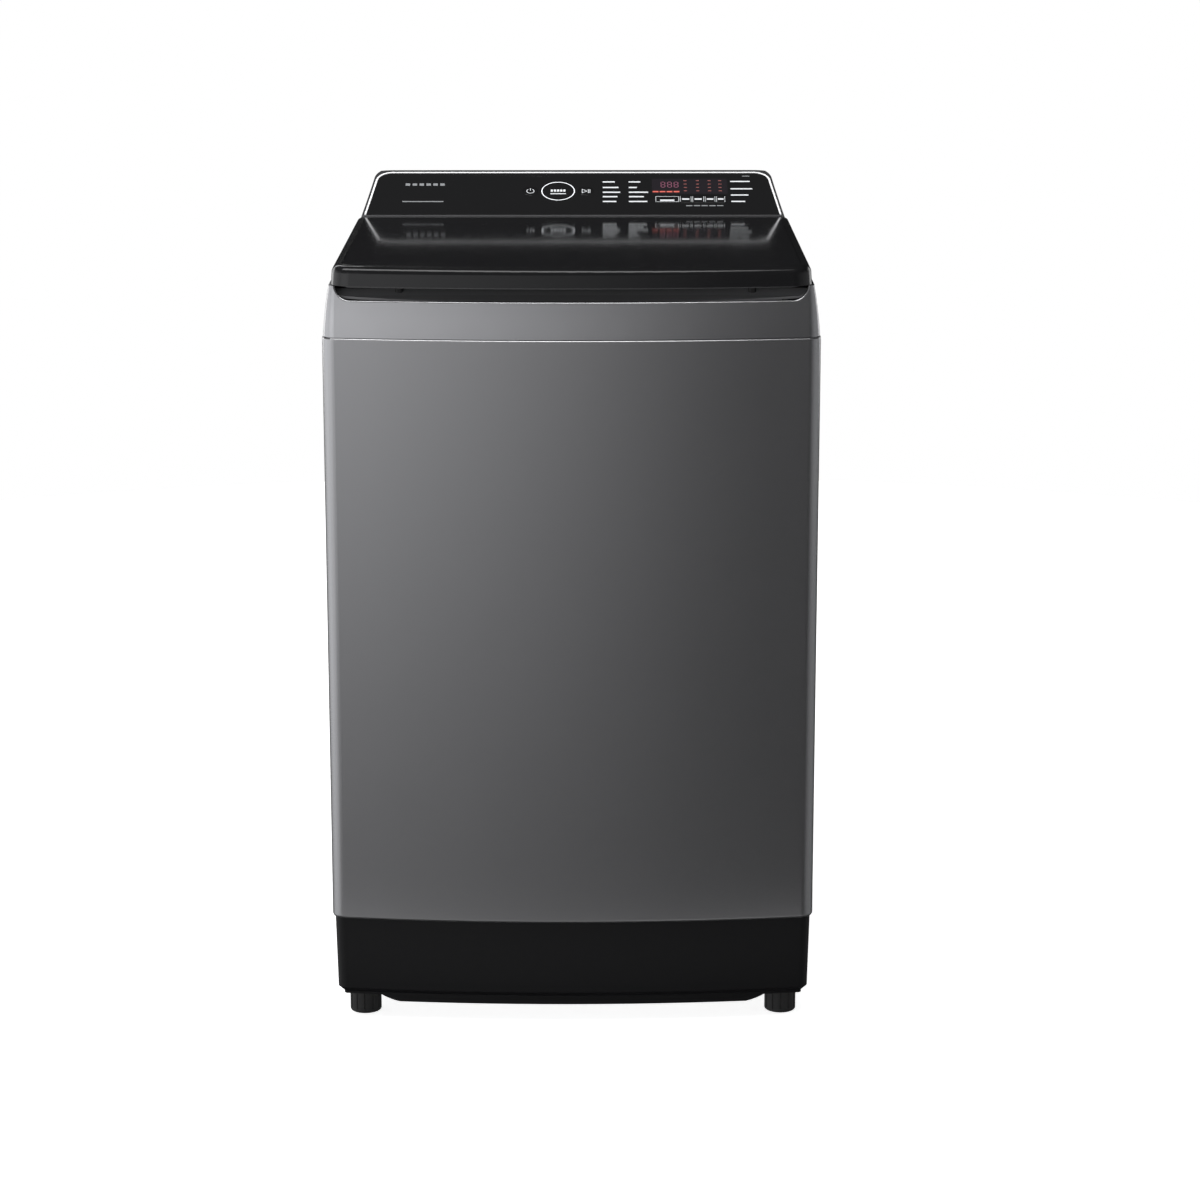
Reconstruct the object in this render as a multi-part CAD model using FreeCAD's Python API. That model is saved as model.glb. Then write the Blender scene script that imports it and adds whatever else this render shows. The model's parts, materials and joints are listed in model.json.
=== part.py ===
"""Top load washing machine: cabinet, suspended tub, direct drive, lid, drawer, feet and keys.

Millimetres. +Z is up, -Y is the front, and the origin is on the floor under the middle of the
object's box. Every separate piece is written to parts/NAME.step.
"""

import FreeCAD
import Part

import math
import os

from FreeCAD import Base

V = Base.Vector

# Overall size
WIDTH = 610.0
DEPTH = 673.0
HEIGHT = 1018.0
FRONT_Y = -DEPTH / 2
BODY_DEPTH = 646.0
BODY_REAR_Y = FRONT_Y + BODY_DEPTH
FRONT_BOW_R = 2100.0
CORNER_R = 18.0
REAR_CORNER_R = 12.0
GAP = 1.0

# Levels above the floor
BASE_Z = 25.0
CABINET_Z = 138.0
COVER_Z = 882.0
BAND_TOP_Z = 927.0
RIM_Z = 944.0
RIM_EDGE_R = 2.0
DECK_Z = 939.0
LEDGE_Z = 927.0
LID_TOP_Z = 968.0

# Sheet and moulding thicknesses
SHEET = 1.0
WALL = 3.0
DECK_T = 3.0

# Tub, basket and drive, all on one vertical axis
TUB_Y = -14.0
TUB_R = 266.0
TUB_WALL = 2.5
TUB_FLOOR_Z = 212.0
TUB_TOP_Z = 846.0
BASKET_R = 248.0
BASKET_Z = 258.0
BASKET_TOP_Z = 790.0
RING_TOP_Z = 836.0
RING_BORE_R = 206.0
PULSATOR_R = 172.0
SPIN_SHAFT_R = 17.0
WASH_SHAFT_R = 9.0
RUNNING = 0.05
ROTOR_R = 134.0
ROTOR_Z = 84.0
BEARING_R = 34.0

# Suspension: four rods with springs under the tub's lugs
ROD_OFFSET = 232.0
ROD_R = 4.0
ROD_SEAT_Z = 866.0
LUG_Z = 300.0
LUG_T = 14.0
SPRING_Z = 256.0

# Lid and its hinge
HINGE_Y = 172.0
HINGE_Z = 950.0
HINGE_R = 18.0
HINGE_X = 255.0
LID_HALF = 293.5
LID_FRONT_Y = FRONT_Y + 3.0
LID_Z = 944.6
LINER_Z = 941.2
LID_CORNER_R = 26.0
LID_LEAN = 1.6
LID_EDGE_R = 9.0
GLASS_T = 4.0
WINDOW_HALF = 228.0

# Rubber buffers under the lid's front edge
BUMPER_X = (-210.0, 220.0)

# Mouth of the deck over the basket
MOUTH_HALF = 205.0
MOUTH_FRONT_Y = -230.0
MOUTH_REAR_Y = 142.0
MOUTH_R = 110.0
MOUTH_SKIRT_Z = 884.0

# Control panel: a plate tilted about its lower front edge
PANEL_Y = 193.0
PANEL_Z = 969.0
PANEL_TILT = 26.3
PANEL_LENGTH = 110.4
PANEL_HALF_LOW = 281.0
PANEL_HALF_HIGH = 266.5
PANEL_T = 3.0
PANEL_CORNER_R = 20.0
TRIM_W = 2.2
KEY_GAP = 0.3
DIAL_U = -20.5
DIAL_V = 59.0
DIAL_R = 23.6
ICON_STEP = 38.0
ICON_R = 10.0
KEY_ROW_V = (30.0, 48.0)
KEY_EDGES = (112.0, 145.5, 162.5, 179.5, 195.0, 208.5)
KEY_NAMES = ("bubble_key", "temp_key", "rinse_key", "spin_key", "level_key")
DISPLAY_BOX = (108.0, 52.0, 212.0, 90.0)

# Detergent drawer
DRAWER_HALF = 84.0
DRAWER_Y = (142.6, 272.0)
DRAWER_Z = (884.5, 923.0)

# Feet
FOOT_X = 267.0
FOOT_FRONT_Y = -268.0
FOOT_REAR_Y = 262.0
FOOT_R = 20.0
FOOT_H = 31.0

# Water connections on the rear
INLET_R = 13.2
INLET_LENGTH = 15.0
INLET_X = (-205.0, -150.0)
INLET_Z = 968.0
OUTLET_X = 235.0
OUTLET_Z = 190.0
OUTLET_R = 16.0
GLAND = (-235.0, 840.0)


def export(name, shape):
    """Writes one piece, or one group of like pieces, as a STEP file."""
    os.makedirs("parts", exist_ok=True)
    for solid in shape.Solids:
        if not solid.isValid():
            print("INVALID", name)
    shape.exportStep(f"parts/{name}.step")
    print(f"{name}: {len(shape.Solids)} solids, {shape.Volume / 1000:.1f} cm3")


def group(shapes):
    """Several separate solids in one piece."""
    return Part.makeCompound([s for shape in shapes for s in shape.Solids])


def box(low, high):
    """A box between two corners."""
    size = [high[k] - low[k] for k in range(3)]
    return Part.makeBox(*size, V(*low))


def rod(r, start, end):
    """A round bar between two points."""
    a, b = V(*start), V(*end)
    return Part.makeCylinder(r, (b - a).Length, a, b - a)


def tube(r_out, r_in, z0, z1, x=0.0, y=TUB_Y):
    """An upright round tube."""
    outer = Part.makeCylinder(r_out, z1 - z0, V(x, y, z0))
    return outer.cut(Part.makeCylinder(r_in, z1 - z0 + 2, V(x, y, z0 - 1)))


def turned(points, x=0.0, y=TUB_Y):
    """A solid turned about an upright axis from (radius, height) points."""
    corners = [V(x + r, y, z) for r, z in points]
    face = Part.Face(Part.makePolygon(corners + [corners[0]]))
    return face.revolve(V(x, y, 0), V(0, 0, 1), 360)


def rounded_rectangle(x0, y0, x1, y1, r, z):
    """A closed horizontal outline with four round corners."""
    k = r * (1 - math.sqrt(0.5))
    corners = (
        ((x1 - r, y0), (x1 - k, y0 + k), (x1, y0 + r)),
        ((x1, y1 - r), (x1 - k, y1 - k), (x1 - r, y1)),
        ((x0 + r, y1), (x0 + k, y1 - k), (x0, y1 - r)),
        ((x0, y0 + r), (x0 + k, y0 + k), (x0 + r, y0)),
    )
    edges = []
    for i, (start, middle, end) in enumerate(corners):
        edges.append(Part.Arc(V(*start, z), V(*middle, z), V(*end, z)).toShape())
        following = corners[(i + 1) % 4][0]
        edges.append(Part.LineSegment(V(*end, z), V(*following, z)).toShape())
    return Part.Wire(edges)


def slab(wire, height):
    """A flat outline raised into a solid."""
    return Part.Face(wire).extrude(V(0, 0, height))


def rounded_block(x0, y0, x1, y1, r, z0, z1):
    """A block with four round upright corners."""
    return slab(rounded_rectangle(x0, y0, x1, y1, r, z0), z1 - z0)


def bowed_outline(inset, z, half=WIDTH / 2, front=FRONT_Y, rear=BODY_REAR_Y,
                  corner=CORNER_R, rear_corner=REAR_CORNER_R):
    """The cabinet's outline: a bowed front, straight sides and round corners."""
    w, yf, yr = half - inset, front + inset, rear - inset
    big, r = FRONT_BOW_R - inset, max(corner - inset, 2.0)
    q = max(rear_corner - inset, 2.0)
    centre_y = yf + big
    fillet_y = centre_y - math.sqrt((big - r) ** 2 - (w - r) ** 2)
    dx, dy = (w - r) / (big - r), (fillet_y - centre_y) / (big - r)
    touch = (big * dx, centre_y + big * dy)
    length = math.hypot(1 + dx, dy)
    middle = (w - r + r * (1 + dx) / length, fillet_y + r * dy / length)
    k = q * math.sqrt(0.5)
    rear_mid = (w - q + k, yr - q + k)

    def at(x, y):
        return V(x, y, z)

    edges = [
        Part.Arc(at(-touch[0], touch[1]), at(0, yf), at(*touch)),
        Part.Arc(at(*touch), at(*middle), at(w, fillet_y)),
        Part.LineSegment(at(w, fillet_y), at(w, yr - q)),
        Part.Arc(at(w, yr - q), at(*rear_mid), at(w - q, yr)),
        Part.LineSegment(at(w - q, yr), at(-w + q, yr)),
        Part.Arc(at(-w + q, yr), at(-rear_mid[0], rear_mid[1]), at(-w, yr - q)),
        Part.LineSegment(at(-w, yr - q), at(-w, fillet_y)),
        Part.Arc(at(-w, fillet_y), at(-middle[0], middle[1]), at(-touch[0], touch[1])),
    ]
    return Part.Wire([e.toShape() for e in edges])


def bowed_block(inset, z0, z1, **shape):
    """The cabinet's outline raised between two heights."""
    return slab(bowed_outline(inset, z0, **shape), z1 - z0)


def edges_at(shape, z):
    """Edges that lie flat at one height."""
    found = []
    for edge in shape.Edges:
        b = edge.BoundBox
        if abs(b.ZMin - z) < 1e-3 and abs(b.ZMax - z) < 1e-3:
            found.append(edge)
    return found


def on_panel(shape):
    """Moves a piece from panel coordinates (u, v, height) to its tilted place."""
    placed = shape.copy()
    placed.rotate(V(0, 0, 0), V(1, 0, 0), PANEL_TILT)
    placed.translate(V(0, PANEL_Y, PANEL_Z))
    return placed


def rod_places():
    """The four upright suspension rods' (x, y)."""
    for sx in (-1, 1):
        for sy in (-1, 1):
            yield sx * ROD_OFFSET, TUB_Y + sy * ROD_OFFSET


# ---------------------------------------------------------------- cabinet

def cabinet_wrapper():
    """Painted steel wrapper with hemmed edges and a service window at the rear."""
    top_z = COVER_Z - GAP
    outer = bowed_block(0, CABINET_Z, top_z)
    outer = outer.makeFillet(4.0, edges_at(outer, CABINET_Z))
    outer = outer.makeFillet(2.0, edges_at(outer, top_z))
    inner = bowed_block(SHEET, CABINET_Z + SHEET, top_z - SHEET)
    inner = inner.makeFillet(3.0, edges_at(inner, CABINET_Z + SHEET))
    shell = outer.cut(inner)
    shell = shell.cut(bowed_block(12, CABINET_Z - 1, CABINET_Z + 5))
    shell = shell.cut(bowed_block(10, top_z - 5, top_z + 1))
    window = box((-262, BODY_REAR_Y - 5, 232), (262, BODY_REAR_Y + 5, 850))
    shell = shell.cut(window)
    return shell.cut(rod(OUTLET_R + 2, (OUTLET_X, 300, OUTLET_Z), (OUTLET_X, 320, OUTLET_Z)))


def rear_panel():
    """Pressed steel cover over the rear window, with stiffening ribs and vent slots."""
    y = BODY_REAR_Y
    plate = box((-278, y, 216), (278, y + SHEET, 866))
    for x in (-180.0, -60.0, 60.0, 180.0):
        ridge = box((x - 22, y, 280), (x + 22, y + 5, 800))
        hollow = box((x - 21, y - 1, 281), (x + 21, y + 4, 799))
        uprights = [e for e in ridge.Edges if e.BoundBox.YLength < 0.1 and e.BoundBox.YMin > y + 4]
        ridge = ridge.makeFillet(2.0, uprights)
        plate = plate.fuse(ridge).cut(hollow)
    for i in range(6):
        x = -225.0 + 18 * i
        plate = plate.cut(box((x, y - 1, 232), (x + 8, y + 2, 268)))
    x, z = GLAND
    plate = plate.cut(rod(4, (x, y - 1, z), (x, y + 2, z)))
    return plate.removeSplitter()


def screw_places():
    """The rear panel's screws, (x, z)."""
    for z in (224.0, 430.0, 650.0, 858.0):
        yield -270.0, z
        yield 270.0, z
    for z in (224.0, 858.0):
        yield 0.0, z


def rear_panel_screws():
    """Pan head screws that fix the rear panel to the wrapper's edge."""
    screws = []
    for x, z in screw_places():
        y = BODY_REAR_Y + SHEET
        head = rod(4.5, (x, y, z), (x, y + 2.4, z))
        head = head.makeFillet(1.2, [e for e in head.Edges if e.BoundBox.YMin > y + 2.3])
        head = head.cut(box((x - 2.6, y + 1.2, z - 0.5), (x + 2.6, y + 3, z + 0.5)))
        screws.append(head.cut(box((x - 0.5, y + 1.2, z - 2.6), (x + 0.5, y + 3, z + 2.6))))
    return group(screws)


def base():
    """Moulded base: tapered skirt, inner collar, foot bosses and a lower flange."""
    low, foot_inset, top_inset = 44, 13, 3.2
    skirt_wall = 5.5 + WALL
    collar_wall = 13.5 + WALL
    skirt = Part.makeLoft([bowed_outline(top_inset, CABINET_Z), bowed_outline(5.5, low)], True, True)
    step = Part.makeLoft([bowed_outline(5.5, low), bowed_outline(foot_inset, 37)], True, True)
    collar = bowed_block(13.5, CABINET_Z, CABINET_Z + 20)
    flange = bowed_block(foot_inset, BASE_Z + 9, 37)
    body = skirt.fuse([step, collar, flange])
    body = body.cut(bowed_block(collar_wall, CABINET_Z - 8, CABINET_Z + 30))
    body = body.cut(bowed_block(skirt_wall, low + WALL, CABINET_Z - 8))
    body = body.cut(bowed_block(foot_inset + 14, BASE_Z - 5, low + 6))
    feet = [(s * FOOT_X, y) for s in (-1, 1) for y in (FOOT_FRONT_Y, FOOT_REAR_Y)]
    for x, y in feet:
        boss = Part.makeCylinder(24, 60, V(x, y, BASE_Z + 8))
        web = box((x - 27, y - 5, low + WALL), (x + 27, y + 5, 110))
        body = body.fuse([boss, web])
    body = body.fuse(front_lip())
    body = body.common(bowed_block(top_inset, BASE_Z - 5, CABINET_Z + 25))
    for x, y in feet:
        body = body.cut(Part.makeCylinder(5.0 + RUNNING, 70, V(x, y, BASE_Z)))
        body = body.cut(Part.makeCylinder(FOOT_R + 1.5, 10, V(x, y, BASE_Z - 2)))
    return body.removeSplitter()


def front_lip():
    """Lower lip along the front between the feet, with swept ends."""
    half, sweep, high = 221.0, 24.0, 44.0
    right = (V(half, -345, BASE_Z), V(half + 0.62 * sweep, -345, BASE_Z + 4.5),
             V(half + sweep, -345, BASE_Z + 9))
    left = [V(-p.x, p.y, p.z) for p in reversed(right)]
    edges = [
        Part.LineSegment(left[-1], right[0]).toShape(),
        Part.Arc(*right).toShape(),
        Part.LineSegment(right[-1], V(half + sweep, -345, high)).toShape(),
        Part.LineSegment(V(half + sweep, -345, high), V(-half - sweep, -345, high)).toShape(),
        Part.LineSegment(V(-half - sweep, -345, high), left[0]).toShape(),
        Part.Arc(*left).toShape(),
    ]
    profile = Part.Face(Part.Wire(edges)).extrude(V(0, 60, 0))
    band = bowed_block(14.5, BASE_Z - 2, high).cut(bowed_block(19, BASE_Z - 4, high + 2))
    return profile.common(band)


def foot(x, y):
    """Levelling foot: ribbed rubber pad on a threaded stud."""
    pad = Part.makeCylinder(FOOT_R, FOOT_H, V(x, y, 0))
    pad = pad.makeFillet(2.5, edges_at(pad, 0))
    for i in range(12):
        a = math.radians(30 * i)
        groove = rod(1.2, (x + FOOT_R * math.cos(a), y + FOOT_R * math.sin(a), 5),
                     (x + FOOT_R * math.cos(a), y + FOOT_R * math.sin(a), FOOT_H + 1))
        pad = pad.cut(groove)
    return pad.fuse(rod(5.0, (x, y, FOOT_H - 1), (x, y, 88)))


def corner_brackets():
    """Steel gussets in the cabinet's upper corners, each with a seat for a rod."""
    brackets = []
    inside = bowed_block(SHEET + 0.2, ROD_SEAT_Z - 60, ROD_SEAT_Z + 5)
    for x, y in rod_places():
        sx = math.copysign(1, x)
        sy = 1 if y > TUB_Y else -1
        cx, cy = sx * 320, TUB_Y + sy * 345
        points = [V(cx, cy, 0), V(cx, y - sy * 70, 0), V(x + sx * 18, y - sy * 30, 0),
                  V(x - sx * 16, y - sy * 16, 0), V(x - sx * 30, y + sy * 18, 0),
                  V(x - sx * 70, cy, 0)]
        face = Part.Face(Part.makePolygon(points + [points[0]]))
        plate = face.extrude(V(0, 0, 4))
        plate.translate(V(0, 0, ROD_SEAT_Z - 4))
        plate = plate.common(inside)
        plate = plate.cut(rod(8.1, (x, y, ROD_SEAT_Z - 10), (x, y, ROD_SEAT_Z + 2)))
        brackets.append(plate)
    return group(brackets)


def suspension_rods():
    """Rods with a ball head on the bracket's seat."""
    rods = []
    for x, y in rod_places():
        ball = Part.makeSphere(10, V(x, y, ROD_SEAT_Z + 6))
        shank = rod(ROD_R, (x, y, SPRING_Z - 12), (x, y, ROD_SEAT_Z + 6))
        rods.append(ball.fuse(shank))
    return group(rods)


def spring_seats():
    """Caps at the foot of each rod that carry the springs."""
    seats = []
    for x, y in rod_places():
        cap = Part.makeCylinder(17, 5, V(x, y, SPRING_Z - 5)).fuse(
            Part.makeCylinder(9, 8, V(x, y, SPRING_Z - 13)))
        seats.append(cap.cut(rod(ROD_R, (x, y, SPRING_Z - 20), (x, y, SPRING_Z + 2))))
    return group(seats)


def suspension_springs():
    """Coil springs between each seat and the tub's lug."""
    wire_r, coil_r = 1.7, 11.0
    height = LUG_Z - SPRING_Z - 2 * wire_r - 0.6
    springs = []
    helix = Part.makeHelix(height / 6, height, coil_r)
    section = Part.Wire(Part.makeCircle(wire_r, V(coil_r, 0, 0), V(0, 1, 0)))
    coil = Part.Wire(helix).makePipeShell([section], True, True)
    for x, y in rod_places():
        spring = coil.copy()
        spring.translate(V(x, y, SPRING_Z + wire_r + 0.3))
        springs.append(spring)
    return group(springs)


# ---------------------------------------------------------------- top

def cover_loft(extra, z0=COVER_Z, z1=RIM_Z):
    """The top cover's outer form, leaning in as it rises; extra is a further inset."""
    levels = ((z0, 1.2), ((z0 + z1) / 2, 4.2), (z1, 9.0))
    wires = [bowed_outline(i + extra, z) for z, i in levels]
    return Part.makeLoft(wires, True, False)


def top_cover():
    """Painted outer ring of the top, scooped at the front below the lid."""
    ring = cover_loft(0).cut(cover_loft(WALL))
    half, r = 288.0, 19.0
    scoop = box((-half, FRONT_Y - 5, BAND_TOP_Z), (half, -293, RIM_Z + 5))
    lower = [e for e in scoop.Edges
             if e.BoundBox.YLength > 30 and abs(e.BoundBox.ZMax - BAND_TOP_Z) < 1e-3]
    scoop = scoop.makeFillet(r, lower)
    ring = ring.cut(scoop)
    rim = [e for e in edges_at(ring, BAND_TOP_Z) if e.BoundBox.YMin < FRONT_Y + 8]
    ring = ring.makeFillet(RIM_EDGE_R, rim)
    z = COVER_Z - GAP
    flange = bowed_block(4.0, z, z + 3).cut(bowed_block(24, z - 1, z + 4))
    ledge = bowed_block(8, LEDGE_Z - 3, LEDGE_Z).cut(bowed_block(24, LEDGE_Z - 4, LEDGE_Z + 1))
    ledge = ledge.common(box((-310, -280, 900), (310, 310, 950)))
    return ring.fuse([flange, ledge]).removeSplitter()


def deck_sheet():
    """The deck's bent sheet: front slope, flat ledge and rear trough, before trimming."""
    top = [(-328.5, 924.5), (-318, 926.5), (-304, 932), (-292, DECK_Z), (150, DECK_Z),
           (152, DECK_Z - 9), (296, DECK_Z - 9)]
    low = [(y, z - DECK_T) for y, z in reversed(top)]
    points = [V(-300, y, z) for y, z in top + low]
    face = Part.Face(Part.makePolygon(points + [points[0]]))
    return face.extrude(V(600, 0, 0))


def top_deck():
    """Inner deck: the ledge the lid closes on, the mouth over the basket, hinge posts."""
    deck = deck_sheet().common(bowed_block(12.6, 905, RIM_Z))
    front = deck_sheet().common(bowed_block(9.4, 905, 925.5))
    edge = bowed_block(14, LEDGE_Z, DECK_Z - 2).cut(bowed_block(17, LEDGE_Z - 1, DECK_Z))
    deck = deck.fuse([front, edge.common(box((-310, -276, 900), (310, 151, 950)))])
    skirt = rounded_block(-MOUTH_HALF - DECK_T, MOUTH_FRONT_Y - DECK_T, MOUTH_HALF + DECK_T,
                          MOUTH_REAR_Y + DECK_T, MOUTH_R + DECK_T, MOUTH_SKIRT_Z, DECK_Z - 1)
    deck = deck.fuse(skirt)
    for sx in (-1, 1):
        x = sx * HINGE_X
        post = box((x - 5, HINGE_Y - 6, DECK_Z - 10), (x + 5, HINGE_Y + 6, HINGE_Z))
        post = post.fuse(rod(6, (x - 5, HINGE_Y, HINGE_Z), (x + 5, HINGE_Y, HINGE_Z)))
        deck = deck.fuse(post)
        deck = deck.cut(rod(3.0, (x - 6, HINGE_Y, HINGE_Z), (x + 6, HINGE_Y, HINGE_Z)))
    mouth = rounded_block(-MOUTH_HALF, MOUTH_FRONT_Y, MOUTH_HALF, MOUTH_REAR_Y,
                          MOUTH_R, MOUTH_SKIRT_Z - 1, DECK_Z + 5)
    deck = deck.cut(mouth)
    slot = box((-DRAWER_HALF - 5, 100, DRAWER_Z[0] - 3.5),
               (DRAWER_HALF + 5, 149, DRAWER_Z[1] + 3.5))
    deck = deck.cut(slot)
    lock = box((241, -192, DECK_Z - 5), (250, -166, DECK_Z + 1))
    deck = deck.cut(lock)
    return round_mouth(deck.removeSplitter())


def round_mouth(deck):
    """Rounds the mouth's upper edge."""
    rim = [e for e in edges_at(deck, DECK_Z)
           if e.BoundBox.XMax < MOUTH_HALF + 0.1 and e.BoundBox.XMin > -MOUTH_HALF - 0.1
           and e.BoundBox.YMin > MOUTH_FRONT_Y - 0.1 and e.BoundBox.YMax < MOUTH_REAR_Y + 0.1]
    return deck.makeFillet(2.0, rim)


def housing_loft(extra):
    """Control housing's outer form; extra is a further inset."""
    levels = ((RIM_Z + 0.3, 295.3, 304.0), (PANEL_Z, 286.5, 303.0), (HEIGHT, 271.5, 300.0))
    wires = []
    for z, half, rear in levels:
        w, yr, r, yf = half - extra, rear - extra, 24.0 - extra, PANEL_Y + extra
        k = r * math.sqrt(0.5)
        edges = [
            Part.LineSegment(V(-w, yf, z), V(w, yf, z)),
            Part.LineSegment(V(w, yf, z), V(w, yr - r, z)),
            Part.Arc(V(w, yr - r, z), V(w - r + k, yr - r + k, z), V(w - r, yr, z)),
            Part.LineSegment(V(w - r, yr, z), V(-w + r, yr, z)),
            Part.Arc(V(-w + r, yr, z), V(-w + r - k, yr - r + k, z), V(-w, yr - r, z)),
            Part.LineSegment(V(-w, yr - r, z), V(-w, yf, z)),
        ]
        wires.append(Part.Wire([e.toShape() for e in edges]))
    return Part.makeLoft(wires, True, False)


def panel_outline(grow, height):
    """Flat outline of the panel in panel coordinates, with round upper corners."""
    low, high, top = PANEL_HALF_LOW + grow, PANEL_HALF_HIGH + grow, PANEL_LENGTH - 6 + grow
    block = Part.Face(Part.makePolygon([
        V(-low, 0, 0), V(low, 0, 0), V(high, top, 0), V(-high, top, 0), V(-low, 0, 0),
    ])).extrude(V(0, 0, height))
    upper = [e for e in block.Edges if e.BoundBox.ZLength > height / 2 and e.BoundBox.YMin > top - 1]
    return block.makeFillet(PANEL_CORNER_R + grow, upper)


def control_housing():
    """Moulded housing behind the lid that carries the tilted panel and the valves."""
    outer = housing_loft(0)
    above = on_panel(box((-320, -60, 0), (320, PANEL_LENGTH, 90)))
    outer = outer.cut(above)
    inner = housing_loft(WALL)
    low = on_panel(box((-320, -60, -PANEL_T - 2.5), (320, 200, 90)))
    inner = inner.cut(low)
    inner.translate(V(0, 0, -0.5))
    shell = outer.cut(inner)
    recess = panel_outline(TRIM_W + 0.1, PANEL_T + 3)
    recess.translate(V(0, 0, -PANEL_T))
    shell = shell.cut(on_panel(recess))
    well = panel_outline(-6, 20)
    well.translate(V(0, 6, -12))
    shell = shell.cut(on_panel(well))
    apron = box((-288, PANEL_Y, DECK_Z - 8.7), (288, PANEL_Y + WALL, PANEL_Z - 8))
    shell = shell.fuse(apron)
    for x in INLET_X:
        shell = shell.cut(rod(INLET_R + 1.5, (x, 280, INLET_Z), (x, 320, INLET_Z)))
    return shell.removeSplitter()


def control_fascia():
    """Gloss panel plate with openings for the keys and the display."""
    plate = panel_outline(0, PANEL_T)
    plate.translate(V(0, 0, -PANEL_T))
    for u, r in ((DIAL_U, DIAL_R), (DIAL_U - ICON_STEP, ICON_R), (DIAL_U + ICON_STEP, ICON_R)):
        plate = plate.cut(Part.makeCylinder(r + KEY_GAP, 10, V(u, DIAL_V, -6)))
    for u0, u1 in zip(KEY_EDGES[:-1], KEY_EDGES[1:]):
        plate = plate.cut(box((u0 + 0.2, KEY_ROW_V[0], -6), (u1 - 0.2, KEY_ROW_V[1], 4)))
    u0, v0, u1, v1 = DISPLAY_BOX
    plate = plate.cut(rounded_block(u0, v0, u1, v1, 3, -2.4, 4))
    plate = plate.cut(rounded_block(u0 + 2, v0 + 2, u1 - 2, v1 - 2, 2, -6, 4))
    bosses = [Part.makeCylinder(3, 6.9, V(u, v, -PANEL_T - 6.9)) for u in (-102, 218) for v in (22, 86)]
    return on_panel(plate.fuse(bosses))


def fascia_trim():
    """Bright strip round the panel's sides and top edge."""
    outer = panel_outline(TRIM_W, PANEL_T + 0.6)
    inner = panel_outline(0.05, PANEL_T + 4)
    inner.translate(V(0, 0, -1))
    ends = box((-320, -5, -2), (320, 1.0, 10))
    strip = outer.cut(inner).cut(ends)
    strip.translate(V(0, 0, -PANEL_T))
    return on_panel(strip)


def display_window():
    """Smoked window over the display and indicator lamps, flush with the fascia."""
    u0, v0, u1, v1 = DISPLAY_BOX
    pane = rounded_block(u0 + 0.1, v0 + 0.1, u1 - 0.1, v1 - 0.1, 2.9, -2.4, 0)
    return on_panel(pane)


def round_key(u, r):
    """Round push key with a flange that stops it under the fascia, and a stem."""
    head = Part.makeCylinder(r, PANEL_T, V(u, DIAL_V, -PANEL_T))
    head = head.makeFillet(0.5, edges_at(head, 0))
    flange = Part.makeCylinder(r + 1.4, 1.2, V(u, DIAL_V, -PANEL_T - 1.3))
    neck = Part.makeCylinder(r - 0.5, 0.4, V(u, DIAL_V, -PANEL_T - 0.2))
    stem = Part.makeCylinder(2, 3.6, V(u, DIAL_V, -PANEL_T - 4.8))
    return on_panel(head.fuse([neck, flange, stem]))


def square_key(u0, u1):
    """Flat push key in the option row."""
    v0, v1 = KEY_ROW_V
    g = KEY_GAP
    head = box((u0 + 0.2 + g, v0 + g, -PANEL_T), (u1 - 0.2 - g, v1 - g, 0))
    head = head.makeFillet(0.4, edges_at(head, 0))
    mid = (u0 + u1) / 2
    stem = Part.makeCylinder(2, 5, V(mid, (v0 + v1) / 2, -PANEL_T - 4.8))
    return on_panel(head.fuse(stem))


def control_board():
    """Circuit board under the panel with its connectors, relays and switches."""
    z = -PANEL_T - 8.5
    board = box((-110, 16, z), (225, 92, z + 1.6))
    parts = []
    for u in (-90, -72):
        parts.append(box((u, 24, z - 11), (u + 14, 40, z)))
    parts.append(box((150, 20, z - 9), (200, 30, z)))
    switches = [(DIAL_U + s * ICON_STEP, DIAL_V) for s in (-1, 0, 1)]
    mid_v = sum(KEY_ROW_V) / 2
    switches += [((a + b) / 2, mid_v) for a, b in zip(KEY_EDGES[:-1], KEY_EDGES[1:])]
    for u, v in switches:
        parts.append(box((u - 3, v - 3, z + 1.6), (u + 3, v + 3, z + 1.6 + 0.5)))
    return on_panel(board.fuse(parts))


# ---------------------------------------------------------------- lid

def lid_block(inset, z0, z1, rear):
    """The lid's lower outline raised between two heights."""
    return bowed_block(inset, z0, z1, half=LID_HALF, front=LID_FRONT_Y, rear=rear,
                       corner=LID_CORNER_R, rear_corner=4.0)


def lid_form():
    """The lid's outer form, leaning in a little and round along its top edge."""
    wires = []
    for z, lean in ((LID_Z, 0.0), (LID_TOP_Z, LID_LEAN)):
        wires.append(bowed_outline(0, z, half=LID_HALF - lean, front=LID_FRONT_Y + 1.5 * lean,
                                   rear=HINGE_Y + 40, corner=LID_CORNER_R, rear_corner=14.0))
    form = Part.makeLoft(wires, True, False)
    return form.makeFillet(LID_EDGE_R, edges_at(form, LID_TOP_Z))


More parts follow.
